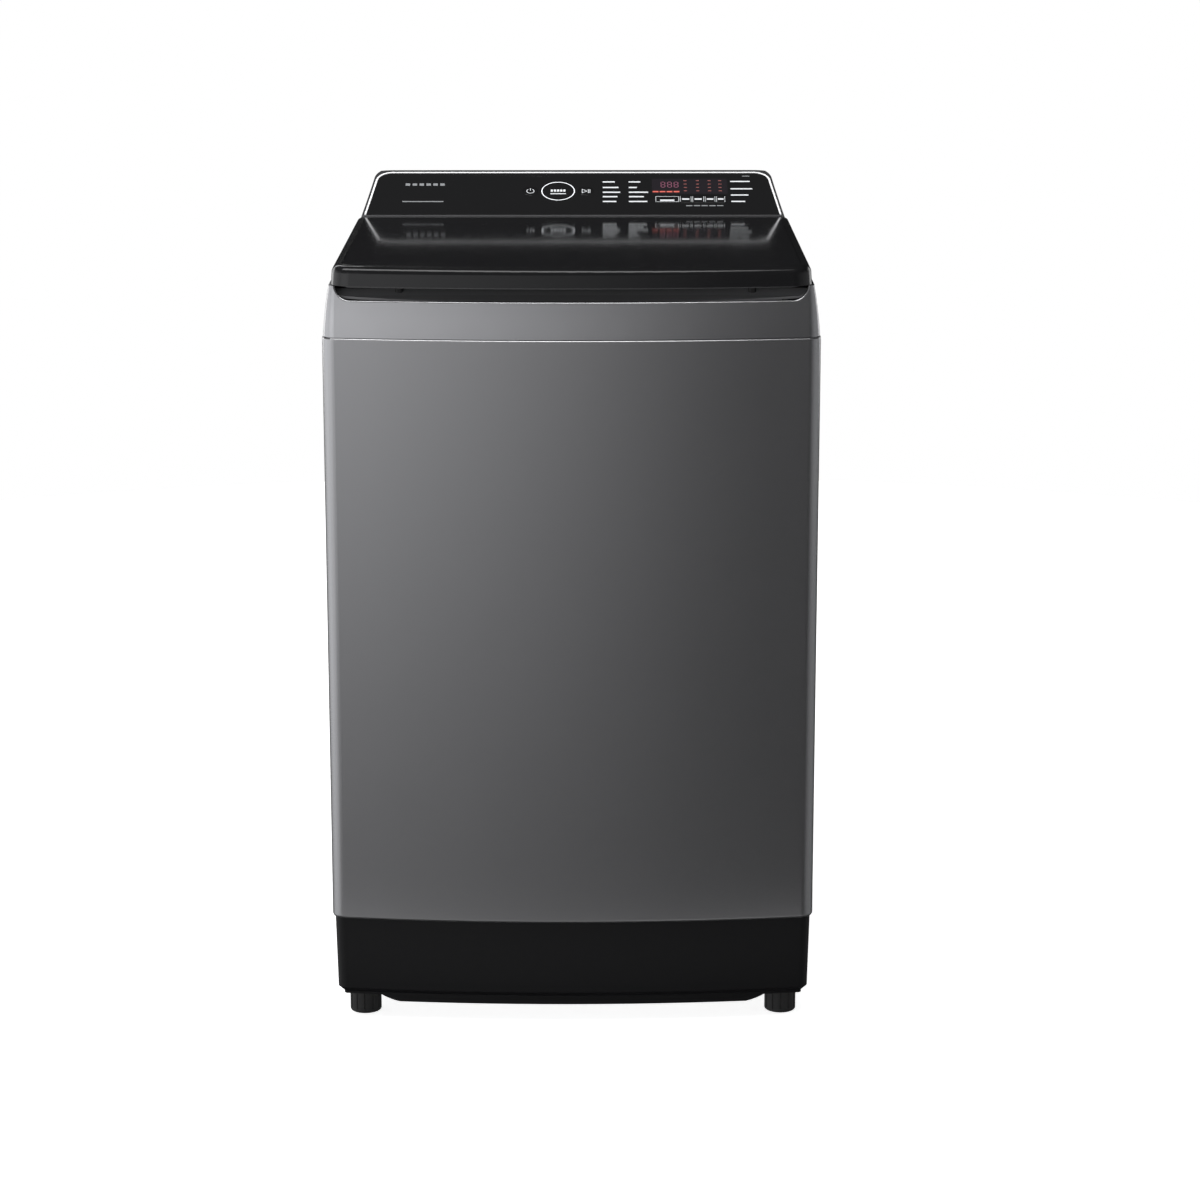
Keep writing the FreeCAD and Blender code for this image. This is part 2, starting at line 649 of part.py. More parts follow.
def lid_frame():
    """Moulded lid frame with a round rear knuckle, a glass rebate and a window."""
    front_part = box((-320, -340, LID_Z - 1), (320, HINGE_Y, LID_TOP_Z + 1))
    knuckle = rod(HINGE_R, (-LID_HALF + 1.3, HINGE_Y, HINGE_Z), (LID_HALF - 1.3, HINGE_Y, HINGE_Z))
    frame = lid_form().common(front_part.fuse(knuckle))
    hollow = lid_block(9, LID_Z - 1, LID_TOP_Z - GLASS_T - 4, 140)
    core = rounded_block(-WINDOW_HALF - WALL, -262 - WALL, WINDOW_HALF + WALL, 118 + WALL,
                         30, LID_Z - 2, LID_TOP_Z)
    frame = frame.cut(hollow.cut(core))
    window = rounded_block(-WINDOW_HALF, -262, WINDOW_HALF, 118, 27, LID_Z - 2, LID_TOP_Z + 1)
    frame = frame.cut(window)
    rebate = glass_block(0.2, LID_TOP_Z - GLASS_T, LID_TOP_Z + 2)
    frame = frame.cut(rebate)
    for sx in (-1, 1):
        x = sx * HINGE_X
        slot = box((x - 6.5, HINGE_Y - 8, LID_Z - 2), (x + 6.5, HINGE_Y + 30, HINGE_Z + 11))
        slot = slot.fuse(rod(8, (x - 6.5, HINGE_Y, HINGE_Z), (x + 6.5, HINGE_Y, HINGE_Z)))
        frame = frame.cut(slot)
        frame = frame.cut(rod(3.0 + RUNNING, (x - 19, HINGE_Y, HINGE_Z), (x + 19, HINGE_Y, HINGE_Z)))
    return frame.removeSplitter()


def glass_block(grow, z0, z1):
    """Outline of the lid's glass raised between two heights."""
    return bowed_block(0, z0, z1, half=LID_HALF - 13 + grow, front=LID_FRONT_Y + 17 - grow,
                       rear=HINGE_Y - 6 + grow, corner=24.0, rear_corner=5.0)


def lid_glass():
    """Tempered, tinted glass set flush in the lid frame."""
    pane = glass_block(0, LID_TOP_Z - GLASS_T, LID_TOP_Z)
    return pane.makeFillet(0.8, edges_at(pane, LID_TOP_Z))


def lid_liner():
    """Inner cover under the lid frame, moulded with ribs and the latch hook."""
    plate = lid_block(14.0, LINER_Z, LID_Z - 0.1, 134)
    plate = plate.cut(rounded_block(-WINDOW_HALF, -262, WINDOW_HALF, 118, 27,
                                    LINER_Z - 1, LID_Z + 1))
    ribs = []
    for sx in (-1, 1):
        ribs.append(box((sx * 262 - 1.5, -240, LID_Z - 0.1), (sx * 262 + 1.5, 100, LID_Z + 8)))
    hook = box((243.5, -186, LINER_Z - 15), (247.5, -174, LINER_Z))
    hook = hook.cut(rod(3, (240, -180, LINER_Z - 8), (250, -180, LINER_Z - 8)))
    return plate.fuse(ribs + [hook])


def lid_lock():
    """Electric lid lock under the deck, open at the hook's slot."""
    body = box((228, -206, 902), (262, -152, DECK_Z - DECK_T))
    return body.cut(box((241, -192, 915), (250, -166, DECK_Z)))


def lid_bumpers():
    """Rubber buffers on the deck's front slope, under the lid's front edge."""
    pads = []
    for x in BUMPER_X:
        pad = rounded_block(x - 5, -300, x + 5, -293, 3.4, 925, LINER_Z - 0.3)
        pad = pad.makeFillet(1.0, edges_at(pad, LINER_Z - 0.3))
        pads.append(pad.cut(deck_sheet()))
    return group([max(pad.Solids, key=lambda s: s.CenterOfMass.z) for pad in pads])


def lid_hinge_pins():
    """Steel pins held in the deck's posts."""
    return group([rod(3.0, (s * HINGE_X - 17, HINGE_Y, HINGE_Z), (s * HINGE_X + 17, HINGE_Y, HINGE_Z))
                  for s in (-1, 1)])


# ---------------------------------------------------------------- water path

def dispenser_housing():
    """Channel that holds the drawer and lets water in from the valves above."""
    w, y0, y1 = DRAWER_HALF + 4, DRAWER_Y[0] + 6.6, DRAWER_Y[1] + 12
    z0, z1 = DRAWER_Z[0] - 3, DECK_Z - 9 - DECK_T
    shell = box((-w, y0, z0), (w, y1, z1))
    shell = shell.cut(box((-w + 2.5, y0 - 1, z0 + 2), (w - 2.5, y1 - 2.5, z1 - 2)))
    spout = rod(7, (INLET_X[1] + 65, 270, z0 + 15), (INLET_X[1] + 40, 270, z0 + 15))
    return shell.fuse(spout)


def detergent_drawer():
    """Sliding tray with two compartments and a grip in its front."""
    w = DRAWER_HALF
    y0, y1 = DRAWER_Y
    z0, z1 = DRAWER_Z
    tray = box((-w, y0 + 6, z0), (w, y1, z1 - 6))
    tray = tray.cut(box((-w + 2.5, y0 + 8.5, z0 + 2.5), (30, y1 - 2.5, z1)))
    tray = tray.cut(box((33, y0 + 8.5, z0 + 2.5), (w - 2.5, y1 - 2.5, z1)))
    front = box((-w - 2, y0, z0 - 1.5), (w + 2, y0 + 6, z1 + 1))
    upright = [e for e in front.Edges if e.BoundBox.YLength < 0.1 and e.BoundBox.YMin < y0 + 0.1]
    front = front.makeFillet(1.5, upright)
    grip = rounded_block(-32, z0 + 8, 32, z0 + 22, 6.9, 0, 5)
    grip.rotate(V(0, 0, 0), V(1, 0, 0), 90)
    grip.translate(V(0, y0 + 4, 0))
    return tray.fuse(front.cut(grip)).removeSplitter()


def softener_insert():
    """Siphon cover over the drawer's softener compartment."""
    y0, y1 = DRAWER_Y[0] + 60, DRAWER_Y[1] - 3
    lid = box((33.5, y0, DRAWER_Z[1] - 9), (DRAWER_HALF - 3, y1, DRAWER_Z[1] - 6.5))
    siphon = rod(5, (57, y0 + 35, DRAWER_Z[0] + 4), (57, y0 + 35, DRAWER_Z[1] - 8))
    return lid.fuse(siphon)


def inlet_valves():
    """Cold and hot inlet valves with threaded spigots through the rear."""
    valves = []
    for x in INLET_X:
        spigot = rod(INLET_R, (x, DEPTH / 2 - INLET_LENGTH, INLET_Z), (x, DEPTH / 2, INLET_Z))
        collar = rod(17, (x, 304.2, INLET_Z), (x, DEPTH / 2 - INLET_LENGTH, INLET_Z))
        neck = rod(INLET_R, (x, 284, INLET_Z), (x, 304.2, INLET_Z))
        body = box((x - 17, 262, INLET_Z - 16), (x + 17, 284, INLET_Z + 14))
        coil = rod(13, (x, 273, INLET_Z - 34), (x, 273, INLET_Z - 15))
        bore = rod(8.5, (x, 290, INLET_Z), (x, DEPTH / 2 + 1, INLET_Z))
        valves.append(spigot.fuse([collar, neck, body, coil]).cut(bore))
    return group(valves)


def water_level_sensor():
    """Pressure sensor that reads the water level."""
    puck = rod(22, (150, 284, 905), (150, 266, 905))
    return puck.fuse([rod(4, (150, 275, 884), (150, 275, 872)), box((146, 268, 880), (154, 282, 890))])


def drain_pump():
    """Drain pump under the tub, with its sump connection and outlet."""
    y = 96.0
    volute = rod(40, (150, y, 150), (150, y, 190))
    motor = rod(28, (150, y, 112), (150, y, 150))
    inlet = rod(19, (150, y, 190), (150, y, TUB_FLOOR_Z))
    outlet = rod(14, (165, y + 20, 176), (192, y + 66, 176))
    pump = volute.fuse([motor, inlet, outlet])
    return pump.cut(rod(13, (150, y, 186), (150, y, TUB_FLOOR_Z + 1)))


def rounded_path(points):
    """A wire of straight runs joined by tangent arcs as large as the runs allow."""
    points = [V(*p) for p in points]
    edges, last = [], points[0]
    for before, at, after in zip(points, points[1:], points[2:]):
        a, b = before - at, after - at
        run = 0.45 * min(a.Length, b.Length)
        a.normalize()
        b.normalize()
        start, end = at + a * run, at + b * run
        half = math.acos(max(-1.0, min(1.0, a.dot(b)))) / 2
        inward = a + b
        inward.normalize()
        middle = at + inward * (run / math.cos(half) - run * math.tan(half))
        edges.append(Part.LineSegment(last, start).toShape())
        edges.append(Part.Arc(start, middle, end).toShape())
        last = end
    edges.append(Part.LineSegment(last, points[-1]).toShape())
    return Part.Wire(edges)


def drain_hose():
    """Flexible hose from the pump to the rear outlet."""
    start = V(192, 162, 176)
    heading = V(27, 46, 0)
    heading.normalize()
    route = [start, start + heading * 40, V(228, 238, 186), V(OUTLET_X, 262, OUTLET_Z),
             V(OUTLET_X, 292, OUTLET_Z)]
    path = rounded_path([(p.x, p.y, p.z) for p in route])
    skins = []
    for r in (14.5, 12.0):
        circle = Part.Wire(Part.makeCircle(r, start, heading))
        skin = path.makePipeShell([circle], True, False)
        skins.append(skin if skin.Volume > 0 else skin.reversed())
    return skins[0].cut(skins[1])


def drain_outlet():
    """Barbed outlet spigot through the rear wall."""
    y0 = BODY_REAR_Y
    spigot = rod(OUTLET_R, (OUTLET_X, 292, OUTLET_Z), (OUTLET_X, y0 + 26, OUTLET_Z))
    collar = rod(22, (OUTLET_X, y0, OUTLET_Z), (OUTLET_X, y0 + 3, OUTLET_Z))
    bore = rod(12, (OUTLET_X, 292.5, OUTLET_Z), (OUTLET_X, y0 + 30, OUTLET_Z))
    return spigot.fuse(collar).cut(bore)


def cord_gland():
    """Gland where the mains lead would leave the rear panel."""
    y, (x, z) = BODY_REAR_Y + SHEET, GLAND
    flange = rod(14, (x, y, z), (x, y + 4, z))
    nose = rod(9, (x, y + 4, z), (x, y + 16, z))
    return flange.fuse(nose).cut(rod(4, (x, y - 1, z), (x, y + 20, z)))


def inverter_module():
    """Motor inverter in its finned case on the rear wall."""
    case = box((-232, 272, 430), (-112, BODY_REAR_Y, 570))
    for i in range(9):
        x = -224.0 + 13 * i
        case = case.cut(box((x, 271, 436), (x + 7, 282, 564)))
    return case


# ---------------------------------------------------------------- tub and drive

def outer_tub():
    """Moulded water tub with hoops, a sunk floor and four lugs for the rods."""
    r, t = TUB_R, TUB_WALL
    profile = [(30, TUB_FLOOR_Z), (r - 10, TUB_FLOOR_Z), (r - 2, TUB_FLOOR_Z + 10)]
    for z in (360.0, 500.0, 640.0, 780.0):
        profile += [(r, z), (r + 4, z + 2), (r + 4, z + 6), (r, z + 8)]
    profile += [(r, TUB_TOP_Z), (r - t, TUB_TOP_Z), (r - t, TUB_FLOOR_Z + 12),
                (r - 12, TUB_FLOOR_Z + 4), (30, TUB_FLOOR_Z + 4)]
    shell = turned(profile)
    core = Part.makeCylinder(r - t, 300, V(0, TUB_Y, TUB_FLOOR_Z + 14))
    for x, y in rod_places():
        bearing = math.degrees(math.atan2(y - TUB_Y, x))
        arm = box((r - 10, -17, LUG_Z), (348, 17, LUG_Z + LUG_T))
        arm = arm.fuse(box((r - 10, -4, LUG_Z + LUG_T), (300, 4, LUG_Z + 60)))
        arm.rotate(V(0, 0, 0), V(0, 0, 1), bearing)
        arm.translate(V(0, TUB_Y, 0))
        arm = arm.cut(core)
        arm = arm.cut(rod(ROD_R + 2, (x, y, LUG_Z - 5), (x, y, LUG_Z + 30)))
        shell = shell.fuse(arm)
    sump = Part.makeCylinder(13, 20, V(150, 96, TUB_FLOOR_Z - 5))
    return shell.cut(sump).removeSplitter()


def tub_cover():
    """Ring that closes the tub's rim above the basket."""
    return turned([(TUB_R + 4, TUB_TOP_Z), (TUB_R + 4, TUB_TOP_Z + 12), (214, TUB_TOP_Z + 16),
                   (214, TUB_TOP_Z - 2), (217, TUB_TOP_Z - 2), (217, TUB_TOP_Z + 12),
                   (TUB_R + 1, TUB_TOP_Z + 8), (TUB_R + 1, TUB_TOP_Z)])


def tub_base_plate():
    """Steel plate under the tub that carries the bearing housing."""
    arms = []
    for a in (45, 135):
        bar = box((-215, -32, 206), (215, 32, TUB_FLOOR_Z))
        bar.rotate(V(0, 0, 0), V(0, 0, 1), a)
        bar.translate(V(0, TUB_Y, 0))
        arms.append(bar)
    plate = Part.makeCylinder(120, 6, V(0, TUB_Y, 206)).fuse(arms)
    plate = plate.cut(Part.makeCylinder(44.5, 20, V(0, TUB_Y, 200)))
    return plate.cut(Part.makeCylinder(20, 20, V(150, 96, 200)))


def bearing_housing():
    """Cast housing for the two shaft bearings, ribbed under its flange."""
    barrel = tube(44, BEARING_R, 124, 206)
    flange = tube(92, 44, 196, 206)
    parts = [flange]
    for i in range(8):
        rib = box((42, -3, 150), (84, 3, 198))
        slope = Part.Face(Part.makePolygon([
            V(84, -4, 198), V(84, -4, 149), V(46, -4, 149), V(84, -4, 198)])).extrude(V(0, 8, 0))
        rib = rib.cut(slope)
        rib.rotate(V(0, 0, 0), V(0, 0, 1), 22.5 + 45 * i)
        rib.translate(V(0, TUB_Y, 0))
        parts.append(rib)
    return barrel.fuse(parts)


def shaft_bearings():
    """Upper and lower ball bearings, each drawn as one ring with grooved faces."""
    rings = []
    for z in (126.0, 186.0):
        ring = tube(BEARING_R, SPIN_SHAFT_R + RUNNING, z, z + 16)
        ring = ring.cut(tube(29, 23, z - 1, z + 1.5)).cut(tube(29, 23, z + 14.5, z + 17))
        rings.append(ring)
    return group(rings)


def shaft_seal():
    """Lip seal round the spin shaft in the tub's floor."""
    return turned([(17.4, 206), (29.8, 206), (29.8, 216), (35, 216), (35, 218), (28, 218),
                   (24, 223), (17.4, 223), (17.4, 219), (22, 216), (22, 209), (17.4, 209)])


def stator():
    """Wound stator: a core ring with teeth, and a coil on each tooth."""
    core = tube(80, 60, 94, 120)
    coils = []
    for i in range(24):
        tooth = box((78, -4, 96), (116, 4, 118)).fuse(box((112, -10, 94), (119, 10, 120)))
        coil = box((82, -9, 92), (110, 9, 122)).cut(box((81, -4.2, 95.8), (111, 4.2, 118.2)))
        for s in (tooth, coil):
            s.rotate(V(0, 0, 0), V(0, 0, 1), 15 * i)
            s.translate(V(0, TUB_Y, 0))
        core = core.fuse(tooth)
        coils.append(coil)
    feet = []
    for i in range(4):
        post = Part.makeCylinder(6, 76, V(68, 0, 120))
        post.rotate(V(0, 0, 0), V(0, 0, 1), 90 * i)
        post.translate(V(0, TUB_Y, 0))
        feet.append(post)
    return group([core.fuse(feet)] + coils)


def clutch_actuator():
    """Geared motor that shifts the clutch, hung from the base plate."""
    case = box((-168, -30, 146), (-112, 22, 190))
    strap = box((-160, -14, 190), (-124, 6, TUB_FLOOR_Z))
    return case.fuse([strap, rod(8, (-112, -4, 160), (-98, -4, 160))])


def clutch_coupler():
    """Toothed ring that slides on the spin shaft to lock it to the rotor."""
    ring = tube(30, SPIN_SHAFT_R + 0.4, 103, 117)
    ring = ring.cut(tube(31, 27, 107, 113))
    for i in range(12):
        tooth = box((25, -2.4, 102), (32, 2.4, 106))
        tooth.rotate(V(0, 0, 0), V(0, 0, 1), 30 * i)
        tooth.translate(V(0, TUB_Y, 0))
        ring = ring.cut(tooth)
    return ring


def basket():
    """Stainless steel basket with a rolled rim and a dished floor."""
    r = BASKET_R
    return turned([(40, BASKET_Z), (r - 14, BASKET_Z), (r, BASKET_Z + 14), (r, BASKET_TOP_Z),
                   (r - SHEET, BASKET_TOP_Z), (r - SHEET, BASKET_Z + 14.5),
                   (r - 14.5, BASKET_Z + SHEET), (40, BASKET_Z + SHEET)])


def balance_ring():
    """Fluid-filled ring on the basket's rim."""
    r0, r1, z0, z1 = RING_BORE_R, BASKET_R + 2, BASKET_TOP_Z, RING_TOP_Z
    ring = turned([(r0, z0), (r1, z0), (r1, z1), (r0, z1)])
    return ring.makeFillet(9.0, edges_at(ring, z1))


def basket_base():
    """Cast hub that joins the basket to the spin shaft."""
    hub = tube(42, SPIN_SHAFT_R, 228, BASKET_Z)
    parts = []
    for i in range(6):
        arm = box((38, -16, 244), (226, 16, BASKET_Z))
        arm = arm.cut(box((60, -11, 240), (216, 11, 252)))
        arm.rotate(V(0, 0, 0), V(0, 0, 1), 60 * i)
        arm.translate(V(0, TUB_Y, 0))
        parts.append(arm)
    rim = tube(232, 216, 244, BASKET_Z)
    return hub.fuse(parts + [rim])


def spin_shaft():
    """Hollow shaft that turns the basket."""
    shaft = tube(SPIN_SHAFT_R, WASH_SHAFT_R + RUNNING, 101, 262)
    return shaft.fuse(tube(38, SPIN_SHAFT_R - 0.1, BASKET_Z, 262))


def lint_filters():
    """Two lint traps clipped to the basket's wall."""
    traps = []
    for bearing in (0, 180):
        r = BASKET_R - SHEET - 0.3
        trap = Part.makeCylinder(r, 190, V(0, 0, 420), V(0, 0, 1))
        trap = trap.cut(Part.makeCylinder(r - 12, 192, V(0, 0, 419)))
        trap = trap.common(box((r - 60, -58, 400), (r + 10, 58, 640)))
        trap = trap.cut(box((r - 30, -46, 440), (r - 7, 46, 592)))
        trap.rotate(V(0, 0, 0), V(0, 0, 1), bearing)
        trap.translate(V(0, TUB_Y, 0))
        traps.append(trap)
    return group(traps)


def pulsator():
    """Dished wash plate with six swept fins."""
    r, z = PULSATOR_R, BASKET_Z + 8
    dish = turned([(WASH_SHAFT_R, z + 1), (60, z + 1), (r - 10, z - 3), (r, z), (r, z + 4),
                   (r - 10, z + 2), (70, z + 9), (36, z + 26), (30, z + 28), (WASH_SHAFT_R, z + 28)])
    dish = dish.fuse(tube(26, WASH_SHAFT_R, z - 3, z + 5))
    fins = []
    for i in range(6):
        a, b = V(34, 0, z + 4), V(r - 16, -26, z + 2)
        mid = V(104, 10, z + 3)
        path = Part.Arc(a, mid, b).toShape()
        start = path.tangentAt(path.FirstParameter)
        section = Part.Wire(Part.makeCircle(11, a, start))
        fin = Part.Wire([path]).makePipeShell([section], True, False)
        fin = fin.cut(Part.makeCylinder(r + 10, 20, V(0, 0, z - 20)))
        fin.rotate(V(0, 0, 0), V(0, 0, 1), 60 * i)
        fin.translate(V(0, TUB_Y, 0))
        fins.append(fin)
    return dish.fuse(fins)


def pulsator_cap():
    """Cap over the pulsator's fixing screw."""
    z = BASKET_Z + 8 + 28
    cap = Part.makeCylinder(24, 5, V(0, TUB_Y, z + 2))
    cap = cap.makeFillet(3.0, edges_at(cap, z + 7))
    return cap.fuse(Part.makeCylinder(20, 2, V(0, TUB_Y, z)))


def wash_shaft():
    """Inner shaft from the rotor to the pulsator, with its nut."""
    shaft = rod(WASH_SHAFT_R, (0, TUB_Y, 74), (0, TUB_Y, BASKET_Z + 36))
    nut = tube(16, WASH_SHAFT_R - 0.1, 74, 78)
    return shaft.fuse(nut)


def rotor():
    """Rotor cup with magnets, keyed to the wash shaft."""
    r, z = ROTOR_R, ROTOR_Z
    cup = turned([(WASH_SHAFT_R, 78), (24, 78), (24, z), (r, z), (r, 124), (r - 10, 124),
                  (r - 10, z + 3), (30, z + 3), (30, 98), (WASH_SHAFT_R, 98)])
    for i in range(8):
        slot = box((60, -14, z - 2), (104, 14, z + 5))
        slot.rotate(V(0, 0, 0), V(0, 0, 1), 45 * i)
        slot.translate(V(0, TUB_Y, 0))
        cup = cup.cut(slot)
    return cup


PIECES = {
    "cabinet_wrapper": cabinet_wrapper,
    "rear_panel": rear_panel,
    "rear_panel_screws": rear_panel_screws,
    "base": base,
    "foot_front_left": lambda: foot(-FOOT_X, FOOT_FRONT_Y),
    "foot_front_right": lambda: foot(FOOT_X, FOOT_FRONT_Y),
    "rear_feet": lambda: group([foot(s * FOOT_X, FOOT_REAR_Y) for s in (-1, 1)]),
    "corner_brackets": corner_brackets,
    "suspension_rods": suspension_rods,
    "spring_seats": spring_seats,
    "suspension_springs": suspension_springs,
    "top_cover": top_cover,
    "top_deck": top_deck,
    "control_housing": control_housing,
    "control_fascia": control_fascia,
    "fascia_trim": fascia_trim,
    "display_window": display_window,
    "control_board": control_board,
    "cycle_button": lambda: round_key(DIAL_U, DIAL_R),
    "power_button": lambda: round_key(DIAL_U - ICON_STEP, ICON_R),
    "start_button": lambda: round_key(DIAL_U + ICON_STEP, ICON_R),
    "lid_frame": lid_frame,
    "lid_glass": lid_glass,
    "lid_liner": lid_liner,
    "lid_lock": lid_lock,
    "lid_bumpers": lid_bumpers,
    "lid_hinge_pins": lid_hinge_pins,
    "dispenser_housing": dispenser_housing,
    "detergent_drawer": detergent_drawer,
    "softener_insert": softener_insert,
    "inlet_valves": inlet_valves,
    "water_level_sensor": water_level_sensor,
    "drain_pump": drain_pump,
    "drain_hose": drain_hose,
    "drain_outlet": drain_outlet,
    "cord_gland": cord_gland,
    "inverter_module": inverter_module,
    "outer_tub": outer_tub,
    "tub_cover": tub_cover,
    "tub_base_plate": tub_base_plate,
    "bearing_housing": bearing_housing,
    "shaft_bearings": shaft_bearings,
    "shaft_seal": shaft_seal,
    "stator": stator,
    "clutch_actuator": clutch_actuator,
    "clutch_coupler": clutch_coupler,
    "basket": basket,
    "balance_ring": balance_ring,
    "basket_base": basket_base,
    "spin_shaft": spin_shaft,
    "lint_filters": lint_filters,
    "pulsator": pulsator,
    "pulsator_cap": pulsator_cap,
    "wash_shaft": wash_shaft,
    "rotor": rotor,
}


def main():
    for name, make in PIECES.items():
        export(name, make())
    for name, u0, u1 in zip(KEY_NAMES, KEY_EDGES[:-1], KEY_EDGES[1:]):
        export(name, square_key(u0, u1))


main()
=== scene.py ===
"""Top load washing machine: finishes, printed marks and fine detail over the CAD frame."""

import json
import math

import bmesh
import bpy
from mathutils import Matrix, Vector


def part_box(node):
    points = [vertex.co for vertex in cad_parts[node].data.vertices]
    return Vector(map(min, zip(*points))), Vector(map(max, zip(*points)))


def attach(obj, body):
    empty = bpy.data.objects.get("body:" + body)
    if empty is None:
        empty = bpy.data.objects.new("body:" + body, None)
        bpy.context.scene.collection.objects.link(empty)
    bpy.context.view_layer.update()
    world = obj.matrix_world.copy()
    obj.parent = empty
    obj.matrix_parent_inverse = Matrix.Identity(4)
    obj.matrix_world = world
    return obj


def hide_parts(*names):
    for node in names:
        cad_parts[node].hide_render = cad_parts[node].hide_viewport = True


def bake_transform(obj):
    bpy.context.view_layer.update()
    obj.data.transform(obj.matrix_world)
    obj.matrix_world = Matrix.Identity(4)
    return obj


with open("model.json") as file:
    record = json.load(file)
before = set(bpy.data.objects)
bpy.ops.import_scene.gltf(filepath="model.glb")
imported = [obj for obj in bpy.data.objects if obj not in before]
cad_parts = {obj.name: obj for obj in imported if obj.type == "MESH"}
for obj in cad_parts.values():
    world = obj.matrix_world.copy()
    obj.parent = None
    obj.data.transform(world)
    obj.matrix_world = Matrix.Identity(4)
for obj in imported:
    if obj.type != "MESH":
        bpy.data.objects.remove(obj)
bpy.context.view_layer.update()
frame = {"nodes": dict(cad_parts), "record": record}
NODES = frame["nodes"]

# The tilted control panel: its lower front edge and its slope
PANEL_ORIGIN = Vector((0.0, 0.193, 0.969))
PANEL_TILT = math.radians(26.3)

# The cycle key on the panel, and how far from it the power and start keys are
DIAL_U, DIAL_V, ICON_STEP = -0.0205, 0.059, 0.038

# Where the upright axis of the basket and the drive stands
AXIS_Y = -0.014

# Basket holes: cells around and up the wall, and the holes' radius
HOLE_COLUMNS, HOLE_ROWS, HOLE_R = 72, 24, 0.0023

# Filter nets: how far in from the traps they are, their heights, half width, mesh and wire
NET_INSET = 0.0088
NET_Z = (0.441, 0.591)
NET_HALF_WIDTH, NET_PITCH, NET_WIRE = 0.0465, 0.0042, 0.0007

# Inlet threads: how far in from the valves' ends they are, height, turns, pitch, radius and depth
INLET_INSET, INLET_Z = 0.017, 0.968
THREAD_TURNS, THREAD_PITCH, THREAD_R, THREAD_DEPTH = 4.6, 0.0023, 0.0129, 0.0010
THREAD_STEPS = 36


# ---------------------------------------------------------------- materials

def add_node(tree, kind, **values):
    """A node with its named inputs set."""
    node = tree.nodes.new(kind)
    for key, value in values.items():
        node.inputs[key.replace("_", " ")].default_value = value
    return node


def material(name, colour, rough=0.5, metal=0.0, coat=0.0, emit=0.0, specular=0.5,
             grain=420.0, vary=0.03, smudge=0.10, bump=0.0, stretch=(1, 1, 1)):
    """A principled material with fine colour grain, cloudy roughness and optional texture."""
    mat = bpy.data.materials.new(name)
    mat.use_nodes = True
    tree = mat.node_tree
    shader = tree.nodes["Principled BSDF"]
    shader.inputs["Metallic"].default_value = metal
    shader.inputs["Coat Weight"].default_value = coat
    shader.inputs["Coat Roughness"].default_value = 0.05
    shader.inputs["Specular IOR Level"].default_value = specular
    if emit:
        shader.inputs["Emission Color"].default_value = (*colour, 1.0)
        shader.inputs["Emission Strength"].default_value = emit
    place = tree.nodes.new("ShaderNodeTexCoord").outputs["Object"]
    mapping = add_node(tree, "ShaderNodeMapping", Scale=stretch)
    tree.links.new(place, mapping.inputs["Vector"])
    fine = add_node(tree, "ShaderNodeTexNoise", Scale=grain, Detail=3.0)
    tree.links.new(mapping.outputs["Vector"], fine.inputs["Vector"])
    shade = add_node(tree, "ShaderNodeMapRange", To_Min=1.0 - vary, To_Max=1.0 + vary)
    tree.links.new(fine.outputs["Fac"], shade.inputs["Value"])
    tint = tree.nodes.new("ShaderNodeVectorMath")
    tint.operation = "SCALE"
    tint.inputs[0].default_value = colour
    tree.links.new(shade.outputs["Result"], tint.inputs["Scale"])
    tree.links.new(tint.outputs["Vector"], shader.inputs["Base Color"])
    cloud = add_node(tree, "ShaderNodeTexNoise", Scale=9.0, Detail=4.0)
    tree.links.new(place, cloud.inputs["Vector"])
    gloss = add_node(tree, "ShaderNodeMapRange", To_Min=rough * (1 - smudge),
                     To_Max=rough * (1 + smudge))
    tree.links.new(cloud.outputs["Fac"], gloss.inputs["Value"])
    tree.links.new(gloss.outputs["Result"], shader.inputs["Roughness"])
    if bump:
        relief = add_node(tree, "ShaderNodeBump", Strength=bump, Distance=0.0004)
        tree.links.new(fine.outputs["Fac"], relief.inputs["Height"])
        tree.links.new(relief.outputs["Normal"], shader.inputs["Normal"])
    return mat


PAINT = material("grey_paint", (0.30, 0.30, 0.307), 0.25, 0.94, grain=1500, vary=0.012, smudge=0.04)
TOP_PAINT = material("top_paint", (0.265, 0.265, 0.272), 0.26, 0.94, grain=1500, vary=0.012,
                     smudge=0.04)
BASE = material("base_plastic", (0.004, 0.004, 0.0045), 0.38, specular=0.15, grain=700,
                vary=0.1, bump=0.1)
GLOSS = material("black_gloss", (0.007, 0.007, 0.0075), 0.16, coat=0.05, specular=0.2, vary=0.08)
FASCIA = material("fascia_gloss", (0.005, 0.005, 0.0055), 0.10, coat=0.2, vary=0.08)
GLASS = material("tinted_glass", (0.008, 0.008, 0.009), 0.08, specular=0.18, vary=0.05)
DECK = material("deck_plastic", (0.15, 0.15, 0.154), 0.36, vary=0.05, bump=0.04)
LINER = material("liner_plastic", (0.05, 0.05, 0.052), 0.38, vary=0.06, bump=0.06)
# Silver trim with a painted highlight: its emission makes it glow in place of the light the chrome
# catches
TRIM_PAINTED_HIGHLIGHT = material("trim_silver_painted_highlight", (0.93, 0.93, 0.94), 0.45, coat=0.3, emit=0.30)
SMOKE = material("display_smoke", (0.012, 0.009, 0.013), 0.06, coat=0.5, vary=0.08)
ZINC = material("zinc_steel", (0.55, 0.56, 0.57), 0.38, 1.0, grain=60, vary=0.12)
GALVANISED = material("galvanised", (0.42, 0.43, 0.44), 0.42, 0.55, grain=35, vary=0.12, smudge=0.2)
STEEL = material("stainless", (0.62, 0.62, 0.63), 0.30, 1.0, grain=90, vary=0.06,
                 stretch=(1, 1, 12))
SPRING = material("spring_steel", (0.18, 0.18, 0.19), 0.35, 1.0, vary=0.10)
WHITE = material("white_plastic", (0.74, 0.75, 0.76), 0.42, grain=300)
LIGHT_GREY = material("grey_plastic", (0.46, 0.48, 0.50), 0.38, grain=300)
